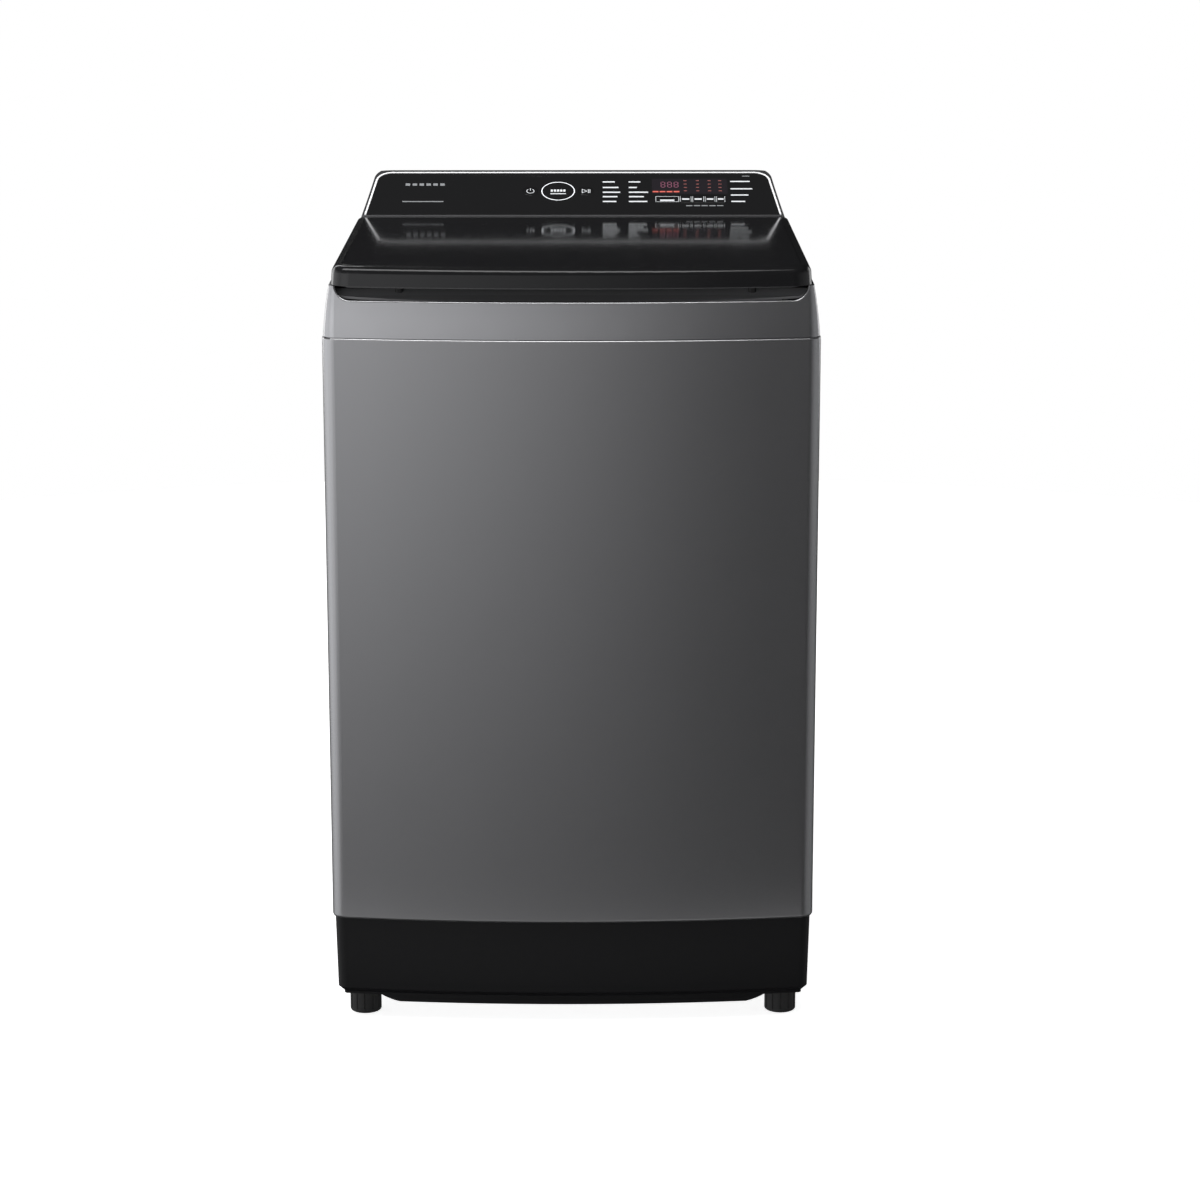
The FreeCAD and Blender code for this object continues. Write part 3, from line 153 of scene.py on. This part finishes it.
BLUE = material("blue_plastic", (0.10, 0.26, 0.55), 0.35)
NYLON = material("nylon", (0.72, 0.71, 0.66), 0.45, vary=0.05)
RUBBER = material("rubber", (0.009, 0.009, 0.009), 0.7, grain=500, vary=0.15, bump=0.2)
CAST = material("cast_aluminium", (0.50, 0.51, 0.52), 0.5, 0.9, grain=220, vary=0.1, bump=0.4)
BOARD = material("circuit_board", (0.02, 0.16, 0.06), 0.4, grain=400, vary=0.2)
COPPER = material("copper_coil", (0.62, 0.26, 0.10), 0.32, 1.0, grain=300, vary=0.2,
                  stretch=(1, 1, 30))
IRON = material("magnet_steel", (0.16, 0.16, 0.17), 0.45, 0.8, grain=80, vary=0.15)
# White print, plus a painted glow: emission makes the marks brighter than the light on the panel
# gives
PRINT_PAINTED_GLOW = material("print_white_painted_glow", (0.70, 0.72, 0.74), 0.5, emit=0.35)
# White ring with a painted highlight: its emission glows in place of the light on the chrome ring
RING_PAINTED_HIGHLIGHT = material("ring_painted_highlight", (0.85, 0.87, 0.90), 0.4, emit=0.55)
# Grey print, plus a faint painted glow from its emission
PRINT_DIM_PAINTED_GLOW = material("print_dim_painted_glow", (0.30, 0.31, 0.32), 0.5, emit=0.08)
LAMP = material("lamp_red", (0.62, 0.12, 0.09), 0.4, emit=0.5)
DIGIT = material("digit_dim", (0.20, 0.07, 0.11), 0.4, emit=0.35)
LAMP_DIM = material("lamp_dim", (0.30, 0.10, 0.09), 0.4, emit=0.25)
MESH_CLOTH = material("filter_mesh", (0.62, 0.66, 0.72), 0.55, grain=900, vary=0.10)

FINISHES = {
    "cabinet_paint": PAINT, "top_paint": TOP_PAINT, "base_plastic": BASE, "black_gloss": GLOSS,
    "deck_plastic": DECK, "lid_glass": GLASS, "trim_chrome": TRIM_PAINTED_HIGHLIGHT, "key_gloss": FASCIA,
    "display_smoke": SMOKE, "zinc_steel": ZINC, "stainless": STEEL, "spring_steel": SPRING,
    "white_plastic": WHITE, "grey_plastic": LIGHT_GREY, "blue_plastic": BLUE,
    "valve_plastic": NYLON, "rubber": RUBBER, "cast_aluminium": CAST, "board_green": BOARD,
    "copper_coil": COPPER, "magnet_steel": IRON, "rear_zinc": GALVANISED,
}
SLOTS = {part["node"]: part["material_slot"] for part in frame["record"]["subparts"]}

for node, obj in NODES.items():
    finish = FINISHES[SLOTS[node]]
    if node == "control_fascia":
        finish = FASCIA
    if node == "lid_liner":
        finish = LINER
    for material_slot in obj.material_slots:
        material_slot.material = finish


# ---------------------------------------------------------------- mesh helpers

def mesh_object(name, verts, faces, mat, body):
    """A mesh piece that rides on a body."""
    mesh = bpy.data.meshes.new(name)
    mesh.from_pydata([tuple(v) for v in verts], [], faces)
    mesh.validate()
    mesh.materials.append(mat)
    obj = bpy.data.objects.new(name, mesh)
    bpy.context.scene.collection.objects.link(obj)
    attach(obj, body)
    return obj


def panel_point(u, v, h=0.0):
    """A point given along the panel, up its slope and out from its face."""
    c, s = math.cos(PANEL_TILT), math.sin(PANEL_TILT)
    return PANEL_ORIGIN + Vector((u, v * c - h * s, v * s + h * c))


class Prints:
    """Thin raised marks gathered into one piece on the panel."""

    def __init__(self, low=-0.00002, high=0.00012):
        self.verts, self.faces, self.low, self.high = [], [], low, high

    def outline(self, points):
        """One closed mark from (u, v) corners, anticlockwise."""
        base, n = len(self.verts), len(points)
        for h in (self.low, self.high):
            self.verts += [panel_point(u, v, h) for u, v in points]
        self.faces.append(tuple(base + n + i for i in range(n)))
        self.faces.append(tuple(base + n - 1 - i for i in range(n)))
        for i in range(n):
            j = (i + 1) % n
            self.faces.append((base + i, base + j, base + n + j, base + n + i))

    def bar(self, u, v, width, height):
        """A rectangle from its centre."""
        w, h = width / 2, height / 2
        self.outline([(u - w, v - h), (u + w, v - h), (u + w, v + h), (u - w, v + h)])

    def arc(self, u, v, r, stroke, start=0.0, sweep=360.0, steps=64):
        """A ring or part of one, in short joined pieces."""
        for i in range(steps):
            a = math.radians(start + sweep * i / steps)
            b = math.radians(start + sweep * (i + 1) / steps)
            inner, outer = r - stroke / 2, r + stroke / 2
            self.outline([
                (u + inner * math.cos(a), v + inner * math.sin(a)),
                (u + outer * math.cos(a), v + outer * math.sin(a)),
                (u + outer * math.cos(b), v + outer * math.sin(b)),
                (u + inner * math.cos(b), v + inner * math.sin(b)),
            ])

    def make(self, name, mat, body):
        """The piece itself."""
        return mesh_object(name, self.verts, self.faces, mat, body)


# ---------------------------------------------------------------- panel marks

KEYS = (("bubble_key", 0.1120, 0.1455), ("temp_key", 0.1455, 0.1625), ("rinse_key", 0.1625, 0.1795),
        ("spin_key", 0.1795, 0.1950), ("level_key", 0.1950, 0.2085))
KEY_V = (0.030, 0.048)

# Lists of cycles: where each column starts, and the lengths of its lines from the top
CYCLE_LISTS = ((0.0407, (0.0165, 0.0215, 0.0240, 0.0200, 0.0185)),
               (0.0764, (0.0160, 0.0110, 0.0265, 0.0205, 0.0250)))
RIGHT_LIST = ((0.083, 0.0270), (0.0645, 0.0300), (0.049, 0.0240), (0.033, 0.0190))


def digit(prints, u, v, width, height, stroke, lit):
    """A seven segment figure; lit holds the segments from the top round, then the middle one."""
    half = height / 2
    places = ((0, height, 1), (width / 2, half * 1.5, 0), (width / 2, half * 0.5, 0), (0, 0, 1),
              (-width / 2, half * 0.5, 0), (-width / 2, half * 1.5, 0), (0, half, 1))
    for (du, dv, across), on in zip(places, lit):
        if on and across:
            prints.bar(u + du, v + dv, width * 0.72, stroke)
        elif on:
            prints.bar(u + du, v + dv, stroke, half * 0.78)


def mark_dial():
    """Ring that glows as a painted highlight for the bright chrome ring, and a short caption block
    on the cycle key.
    """
    ring = Prints()
    ring.arc(DIAL_U, DIAL_V, 0.0223, 0.0013, steps=96)
    ring.make("cycle_ring", RING_PAINTED_HIGHLIGHT, "cycle")
    caption = Prints()
    for i in range(5):
        caption.bar(DIAL_U - 0.0086 + 0.0043 * i, DIAL_V + 0.0012, 0.0030, 0.0052)
    caption.bar(DIAL_U, DIAL_V - 0.0066, 0.0210, 0.0020)
    caption.make("cycle_caption", PRINT_PAINTED_GLOW, "cycle")


def mark_icons():
    """Power symbol and start symbol on their keys."""
    power = Prints()
    u = DIAL_U - ICON_STEP
    power.arc(u, DIAL_V, 0.0050, 0.0009, 125, 290, 28)
    power.bar(u, DIAL_V + 0.0042, 0.0009, 0.0052)
    power.make("power_mark", PRINT_PAINTED_GLOW, "power")
    start = Prints()
    u = DIAL_U + ICON_STEP
    corners = ((-0.0050, -0.0046), (0.0016, 0.0), (-0.0050, 0.0046))
    for (a, b), (c, d) in zip(corners, corners[1:] + corners[:1]):
        length = math.hypot(c - a, d - b)
        nu, nv = -(d - b) / length * 0.0004, (c - a) / length * 0.0004
        start.outline([(u + a - nu, DIAL_V + b - nv), (u + c - nu, DIAL_V + d - nv),
                       (u + c + nu, DIAL_V + d + nv), (u + a + nu, DIAL_V + b + nv)])
    start.bar(u + 0.0034, DIAL_V, 0.0009, 0.0092)
    start.bar(u + 0.0056, DIAL_V, 0.0009, 0.0092)
    start.make("start_mark", PRINT_PAINTED_GLOW, "start")


def mark_legends():
    """Plain bars where the panel carries its lists."""
    lists = Prints()
    for u, lengths in CYCLE_LISTS:
        for v, length in zip((0.082, 0.068, 0.056, 0.045, 0.033), lengths):
            lists.bar(u + length / 2, v, length, 0.0030)
    for v, length in RIGHT_LIST:
        lists.bar(0.2160 + length / 2, v, length, 0.0028)
    lists.make("cycle_lists", PRINT_PAINTED_GLOW, "cabinet")
    small = Prints()
    for i in range(5):
        small.bar(0.1585 + 0.0105 * i, 0.0225, 0.0085, 0.0022)
    small.bar(0.2380, 0.0965, 0.0100, 0.0018)
    small.bar(-0.2050, 0.0330, 0.0560, 0.0022)
    for i in range(6):
        small.bar(-0.2270 + 0.0095 * i, 0.0755, 0.0062, 0.0056)
    small.make("panel_notes", PRINT_DIM_PAINTED_GLOW, "cabinet")


def mark_display():
    """Figures, lamps and captions behind the smoked window."""
    figures = Prints()
    for u in (0.1235, 0.1325, 0.1415):
        digit(figures, u, 0.0685, 0.0052, 0.0130, 0.0013, (1, 1, 1, 1, 1, 1, 1))
    figures.make("display_figures", DIGIT, "cabinet")
    red = Prints()
    for i in range(4):
        red.bar(0.1130 + 0.0096 * i, 0.0575, 0.0078, 0.0030)
    red.make("display_captions", LAMP, "cabinet")
    lamps = Prints()
    for u in (0.1540, 0.1710, 0.1872, 0.2018):
        for v in (0.0850, 0.0765, 0.0680, 0.0595):
            lamps.bar(u, v, 0.0042, 0.0016)
    lamps.make("display_lamps", LAMP_DIM, "cabinet")


def mark_keys():
    """Caption and end ticks on each option key."""
    middle = sum(KEY_V) / 2
    for name, u0, u1 in KEYS:
        marks = Prints()
        wide = u1 - u0 > 0.02
        marks.bar((u0 + u1) / 2, middle - (0.003 if wide else 0), (u1 - u0) * 0.58, 0.0034)
        for u in (u0 + 0.0011, u1 - 0.0011):
            marks.bar(u, middle, 0.0006, 0.0130)
        if wide:
            marks.bar((u0 + u1) / 2, middle + 0.0064, u1 - u0 - 0.0028, 0.0006)
            marks.bar((u0 + u1) / 2, middle - 0.0064, u1 - u0 - 0.0028, 0.0006)
        marks.make(name + "_mark", PRINT_PAINTED_GLOW, name + "_cap")


mark_dial()
mark_icons()
mark_legends()
mark_display()
mark_keys()


# ---------------------------------------------------------------- basket, wash plate, filters

def low_high(node):
    """A node's lowest and highest corners at rest."""
    low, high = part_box(node)
    return Vector(low), Vector(high)


def ring_point(r, angle, z):
    """A point round the machine's upright axis."""
    return Vector((r * math.cos(angle), AXIS_Y + r * math.sin(angle), z))


def join_rings(faces, lower, upper):
    """Quads between two rings of vertex numbers."""
    n = len(lower)
    for i in range(n):
        j = (i + 1) % n
        faces.append((lower[i], lower[j], upper[j], upper[i]))


def perforated_wall(radius, z0, z1, columns, rows, hole_r):
    """A fluted round wall in cells, every other one with a round hole."""
    verts, faces = [], []
    around, up = columns * 2, rows * 2
    step_a, step_z = 2 * math.pi / around, (z1 - z0) / up

    def surface(i, j):
        """Radius with shallow upright flutes that fade out at both ends."""
        edge = min(1.0, j / 3.0, (up - j) / 3.0)
        return radius - 0.0012 * edge * (1 + math.cos(math.pi * i / 4))

    for j in range(up + 1):
        for i in range(around):
            verts.append(ring_point(surface(i, j), i * step_a, z0 + j * step_z))

    def at(i, j):
        return j * around + i % around

    offsets = ((-1, -1), (0, -1), (1, -1), (1, 0), (1, 1), (0, 1), (-1, 1), (-1, 0))
    for j in range(1, up, 2):
        for i in range(1, around, 2):
            border = [at(i + di, j + dj) for di, dj in offsets]
            if (i // 2 + j // 2) % 2:
                for k in range(0, 8, 2):
                    faces.append((border[k], border[k + 1], at(i, j), border[k - 1]))
                continue
            hole = []
            for di, dj in offsets:
                turn = math.atan2(dj, di)
                angle = i * step_a + hole_r * math.cos(turn) / radius
                hole.append(len(verts))
                verts.append(ring_point(surface(i, j), angle, z0 + j * step_z
                                        + hole_r * math.sin(turn)))
            join_rings(faces, border, hole)
    top = [at(i, up) for i in range(around)]
    bottom = [at(i, 0) for i in range(around)]
    return verts, faces, bottom, top


def clean_shell(obj, thickness):
    """Gives a sheet its thickness, drops unused points and shades it smooth."""
    mesh = bmesh.new()
    mesh.from_mesh(obj.data)
    loose = [v for v in mesh.verts if not v.link_faces]
    bmesh.ops.delete(mesh, geom=loose, context="VERTS")
    bmesh.ops.recalc_face_normals(mesh, faces=mesh.faces)
    if thickness:
        bmesh.ops.solidify(mesh, geom=mesh.faces[:], thickness=thickness)
        bmesh.ops.recalc_face_normals(mesh, faces=mesh.faces)
    for face in mesh.faces:
        face.smooth = True
    mesh.to_mesh(obj.data)
    mesh.free()
    obj.data.set_sharp_from_angle(angle=math.radians(38))


def add_profile(verts, faces, start, profile, count):
    """Carries a ring on along (radius, height) points."""
    lower = start
    for r, z in profile:
        ring = []
        for i in range(count):
            ring.append(len(verts))
            verts.append(ring_point(r, 2 * math.pi * i / count, z))
        join_rings(faces, lower, ring)
        lower = ring


def make_basket():
    """Stainless basket: plain rim, perforated fluted wall and a dished floor."""
    low, high = low_high("basket")
    outer = (high.x - low.x) / 2
    inner = outer - 0.0010
    verts, faces, bottom, top = perforated_wall(
        inner, low.z + 0.032, high.z - 0.016, HOLE_COLUMNS, HOLE_ROWS, HOLE_R)
    count = len(top)
    add_profile(verts, faces, top, [(inner, high.z - 0.010), (inner, high.z)], count)
    corner = 0.0135
    curve = [(inner, low.z + 0.016)]
    for k in range(1, 7):
        turn = math.radians(15 * k)
        r = inner - corner * (1 - math.cos(turn))
        curve.append((r, low.z + 0.0145 - corner * math.sin(turn)))
    curve += [(0.200, low.z + 0.0010), (0.120, low.z + 0.0010), (0.0405, low.z + 0.0010)]
    add_profile(verts, faces, bottom, curve, count)
    obj = mesh_object("basket_perforated", verts, faces, STEEL, "basket")
    clean_shell(obj, 0.0008)
    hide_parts("basket")


def make_pulsator():
    """Wash plate: a raised middle, six swept rounded fins and fine grooves between them."""
    low, high = low_high("pulsator")
    r_max = (high.x - low.x) / 2
    inner_r, count, rings = 0.0092, 180, 34
    base_z = low.z + 0.0035
    verts, faces, previous = [], [], None
    for j in range(rings + 1):
        t = j / rings
        r = inner_r + (r_max - inner_r) * t
        cone = 0.0285 * math.exp(-((r / 0.052) ** 2)) + 0.004 * t ** 6
        ring = []
        for i in range(count):
            angle = 2 * math.pi * i / count
            swirl = 6 * (angle - 1.1 * t)
            blade = max(0.0, math.cos(swirl)) ** 3
            reach = math.sin(math.pi * min(1.0, max(0.0, (t - 0.10) / 0.84))) ** 0.7
            groove = 0.0006 * math.cos(4 * swirl) * reach
            z = base_z + cone + 0.0105 * blade * reach + groove
            ring.append(len(verts))
            verts.append(ring_point(r, angle, min(z, high.z)))
        if previous:
            join_rings(faces, previous, ring)
        previous = ring
    rim = [(r_max - 0.0006, low.z + 0.0010), (r_max - 0.004, low.z + 0.0006)]
    add_profile(verts, faces, previous, rim, count)
    obj = mesh_object("wash_plate", verts, faces, FINISHES[SLOTS["pulsator"]], "wash_drive")
    clean_shell(obj, 0.0022)
    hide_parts("pulsator")


def make_flexing(name, node):
    """A copy of a node's shape with its finish, standing in for the hidden node where it is."""
    obj = bpy.data.objects.new(name, NODES[node].data.copy())
    bpy.context.scene.collection.objects.link(obj)
    obj.data.materials.clear()
    obj.data.materials.append(FINISHES[SLOTS[node]])
    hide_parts(node)
    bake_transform(obj)


def add_strand(verts, faces, r, a0, a1, z0, z1):
    """One flat strand of net between two angles and two heights."""
    base = len(verts)
    for radius in (r, r + NET_WIRE):
        for angle, z in ((a0, z0), (a1, z0), (a1, z1), (a0, z1)):
            verts.append(ring_point(radius, angle, z))
    quads = ((0, 1, 2, 3), (7, 6, 5, 4), (0, 4, 5, 1), (1, 5, 6, 2), (2, 6, 7, 3), (3, 7, 4, 0))
    for quad in quads:
        faces.append(tuple(base + k for k in quad))


def make_filter_nets():
    """Fine nets behind the two lint traps' frames."""
    low, high = low_high("lint_filters")
    r = (high.x - low.x) / 2 - NET_INSET
    z0, z1 = NET_Z
    half, pitch, wire = NET_HALF_WIDTH, NET_PITCH, NET_WIRE
    angle_half = half / r
    columns, rows, pieces = int(2 * half / pitch), int((z1 - z0) / pitch), 10
    for side, name in ((0.0, "filter_net_right"), (math.pi, "filter_net_left")):
        verts, faces = [], []
        for i in range(1, columns):
            middle = side - angle_half + 2 * angle_half * i / columns
            add_strand(verts, faces, r, middle - wire / 2 / r, middle + wire / 2 / r, z0, z1)
        for j in range(1, rows):
            z = z0 + (z1 - z0) * j / rows
            for k in range(pieces):
                a0 = side - angle_half + 2 * angle_half * k / pieces
                a1 = a0 + 2 * angle_half / pieces
                add_strand(verts, faces, r + wire * 0.6, a0, a1, z - wire / 2, z + wire / 2)
        mesh_object(name, verts, faces, MESH_CLOTH, "basket")


def make_thread(name, x, end_y):
    """One screw thread round a pipe along Y: a three sided ridge that fades out at its ends."""
    start_y = end_y - 0.0008 - THREAD_TURNS * THREAD_PITCH
    verts, faces, previous = [], [], None
    total = int(THREAD_TURNS * THREAD_STEPS)
    for i in range(total + 1):
        angle = 2 * math.pi * i / THREAD_STEPS
        y = start_y + THREAD_PITCH * i / THREAD_STEPS
        fade = min(1.0, i / 12, (total - i) / 12)
        ring = []
        for dr, dy in ((-0.0004, -0.0007), (THREAD_DEPTH * fade, 0.0), (-0.0004, 0.0007)):
            r = THREAD_R + dr
            ring.append(len(verts))
            verts.append((x + r * math.cos(angle), y + dy, INLET_Z + r * math.sin(angle)))
        if previous:
            for k in range(3):
                m = (k + 1) % 3
                faces.append((previous[k], previous[m], ring[m], ring[k]))
        else:
            faces.append(tuple(ring))
        previous = ring
    faces.append(tuple(reversed(previous)))
    obj = mesh_object(name, verts, faces, NYLON, "cabinet")
    clean_shell(obj, 0.0)


def make_inlet_threads():
    """Screw threads on the two water inlets."""
    low, high = low_high("inlet_valves")
    make_thread("cold_thread", low.x + INLET_INSET, high.y)
    make_thread("hot_thread", high.x - INLET_INSET, high.y)


make_basket()
make_pulsator()
make_flexing("tub_springs", "suspension_springs")
make_flexing("pump_hose", "drain_hose")
make_filter_nets()
make_inlet_threads()


# ---------------------------------------------------------------- stage, lights and camera

def area_light(name, place, target, size, power):
    """A soft rectangular light aimed at a point."""
    data = bpy.data.lights.new(name, "AREA")
    data.shape = "RECTANGLE"
    data.size, data.size_y = size
    data.energy = power
    light = bpy.data.objects.new(name, data)
    bpy.context.scene.collection.objects.link(light)
    light.location = place
    light.rotation_euler = (Vector(target) - Vector(place)).to_track_quat("-Z", "Y").to_euler()
    light.visible_camera = False


def make_floor():
    """A pale floor that gloss doesn't mirror."""
    bpy.ops.mesh.primitive_circle_add(vertices=96, radius=3.2, fill_type="NGON")
    floor = bpy.context.object
    floor.name = "floor"
    mat = material("floor_white", (0.9, 0.9, 0.9), 0.9, emit=0.95, specular=0.0, vary=0.0)
    floor.data.materials.append(mat)
    floor.visible_glossy = False


def world_ramp(tree, direction, axis, limits, values):
    """A soft step of light along one direction of the room."""
    slope = tree.nodes.new("ShaderNodeVectorMath")
    slope.operation = "DOT_PRODUCT"
    slope.inputs[1].default_value = axis
    ramp = tree.nodes.new("ShaderNodeMapRange")
    ramp.inputs["From Min"].default_value, ramp.inputs["From Max"].default_value = limits
    ramp.inputs["To Min"].default_value, ramp.inputs["To Max"].default_value = values
    tree.links.new(direction, slope.inputs[0])
    tree.links.new(slope.outputs["Value"], ramp.inputs["Value"])
    return ramp.outputs["Result"]


def world_math(tree, operation, one, two):
    """Two ramps put together."""
    node = tree.nodes.new("ShaderNodeMath")
    node.operation = operation
    tree.links.new(one, node.inputs[0])
    tree.links.new(two, node.inputs[1])
    return node.outputs["Value"]


def make_world():
    """White to the camera; to the object, a dim room with soft walls at the front and sides."""
    world = bpy.data.worlds.new("studio")
    bpy.context.scene.world = world
    world.use_nodes = True
    tree = world.node_tree
    tree.nodes.clear()
    direction = tree.nodes.new("ShaderNodeTexCoord").outputs["Generated"]
    across = world_ramp(tree, direction, (-1.0, 0.0, 0.0), (-0.22, 0.55), (0.0, 1.25))
    upward = world_ramp(tree, direction, (0.0, 0.0, 1.0), (-0.29, 0.02), (0.0, 2.0))
    high = world_ramp(tree, direction, (0.0, 0.0, 1.0), (0.08, 0.40), (1.0, 0.05))
    front = world_ramp(tree, direction, (0.0, -1.0, 0.0), (0.35, 0.85), (0.0, 1.0))
    left = world_ramp(tree, direction, (-1.0, 0.0, 0.0), (0.55, 1.0), (0.0, 1.9))
    right = world_ramp(tree, direction, (1.0, 0.0, 0.0), (0.55, 1.0), (0.0, 0.6))
    low = world_ramp(tree, direction, (0.0, 0.0, 1.0), (-0.50, -0.12), (0.25, 1.0))
    ambient = world_ramp(tree, direction, (-0.4, -0.5, 0.8), (-0.1, 0.9), (0.015, 0.20))
    wall = world_math(tree, "MULTIPLY", world_math(tree, "MULTIPLY", across, upward), front)
    sides = world_math(tree, "MULTIPLY", world_math(tree, "ADD", left, right), low)
    strength = world_math(tree, "MULTIPLY", world_math(tree, "ADD", wall, sides), high)
    strength = world_math(tree, "ADD", strength, ambient)
    room = tree.nodes.new("ShaderNodeBackground")
    room.inputs["Color"].default_value = (0.98, 0.985, 1.0, 1)
    tree.links.new(strength, room.inputs["Strength"])
    seen = tree.nodes.new("ShaderNodeBackground")
    seen.inputs["Color"].default_value = (1, 1, 1, 1)
    mix = tree.nodes.new("ShaderNodeMixShader")
    path = tree.nodes.new("ShaderNodeLightPath")
    tree.links.new(path.outputs["Is Camera Ray"], mix.inputs["Fac"])
    tree.links.new(room.outputs["Background"], mix.inputs[1])
    tree.links.new(seen.outputs["Background"], mix.inputs[2])
    out = tree.nodes.new("ShaderNodeOutputWorld")
    tree.links.new(mix.outputs["Shader"], out.inputs["Surface"])


def make_camera():
    """Front view from a little above, as far away as a long lens needs."""
    data = bpy.data.cameras.new("camera")
    data.lens = 101.4
    data.sensor_width = 36
    cam = bpy.data.objects.new("camera", data)
    bpy.context.scene.collection.objects.link(cam)
    cam.location = (0.0183, -4.391, 1.531)
    cam.rotation_euler = (math.radians(90 - 13.49), 0, math.radians(-0.23))
    bpy.context.scene.camera = cam


make_floor()
make_world()
make_camera()
area_light("ceiling", (-0.5, -1.0, 3.0), (-0.1, -0.3, 0.9), (2.8, 0.8), 60)
area_light("rear_high", (-1.3, 3.4, 2.5), (0, 0.3, 0.6), (2.0, 0.7), 10)
area_light("rear_left", (-2.9, 2.5, 1.3), (0, 0.2, 0.6), (2.0, 2.2), 34)
area_light("rear_right", (2.9, 2.5, 1.3), (0, 0.2, 0.6), (2.0, 2.2), 26)
area_light("floor_card", (0, -0.55, 0.004), (0, -0.55, 1), (0.9, 0.2), 0.25)

scene = bpy.context.scene
scene.view_settings.view_transform = "Standard"
scene.view_settings.look = "None"
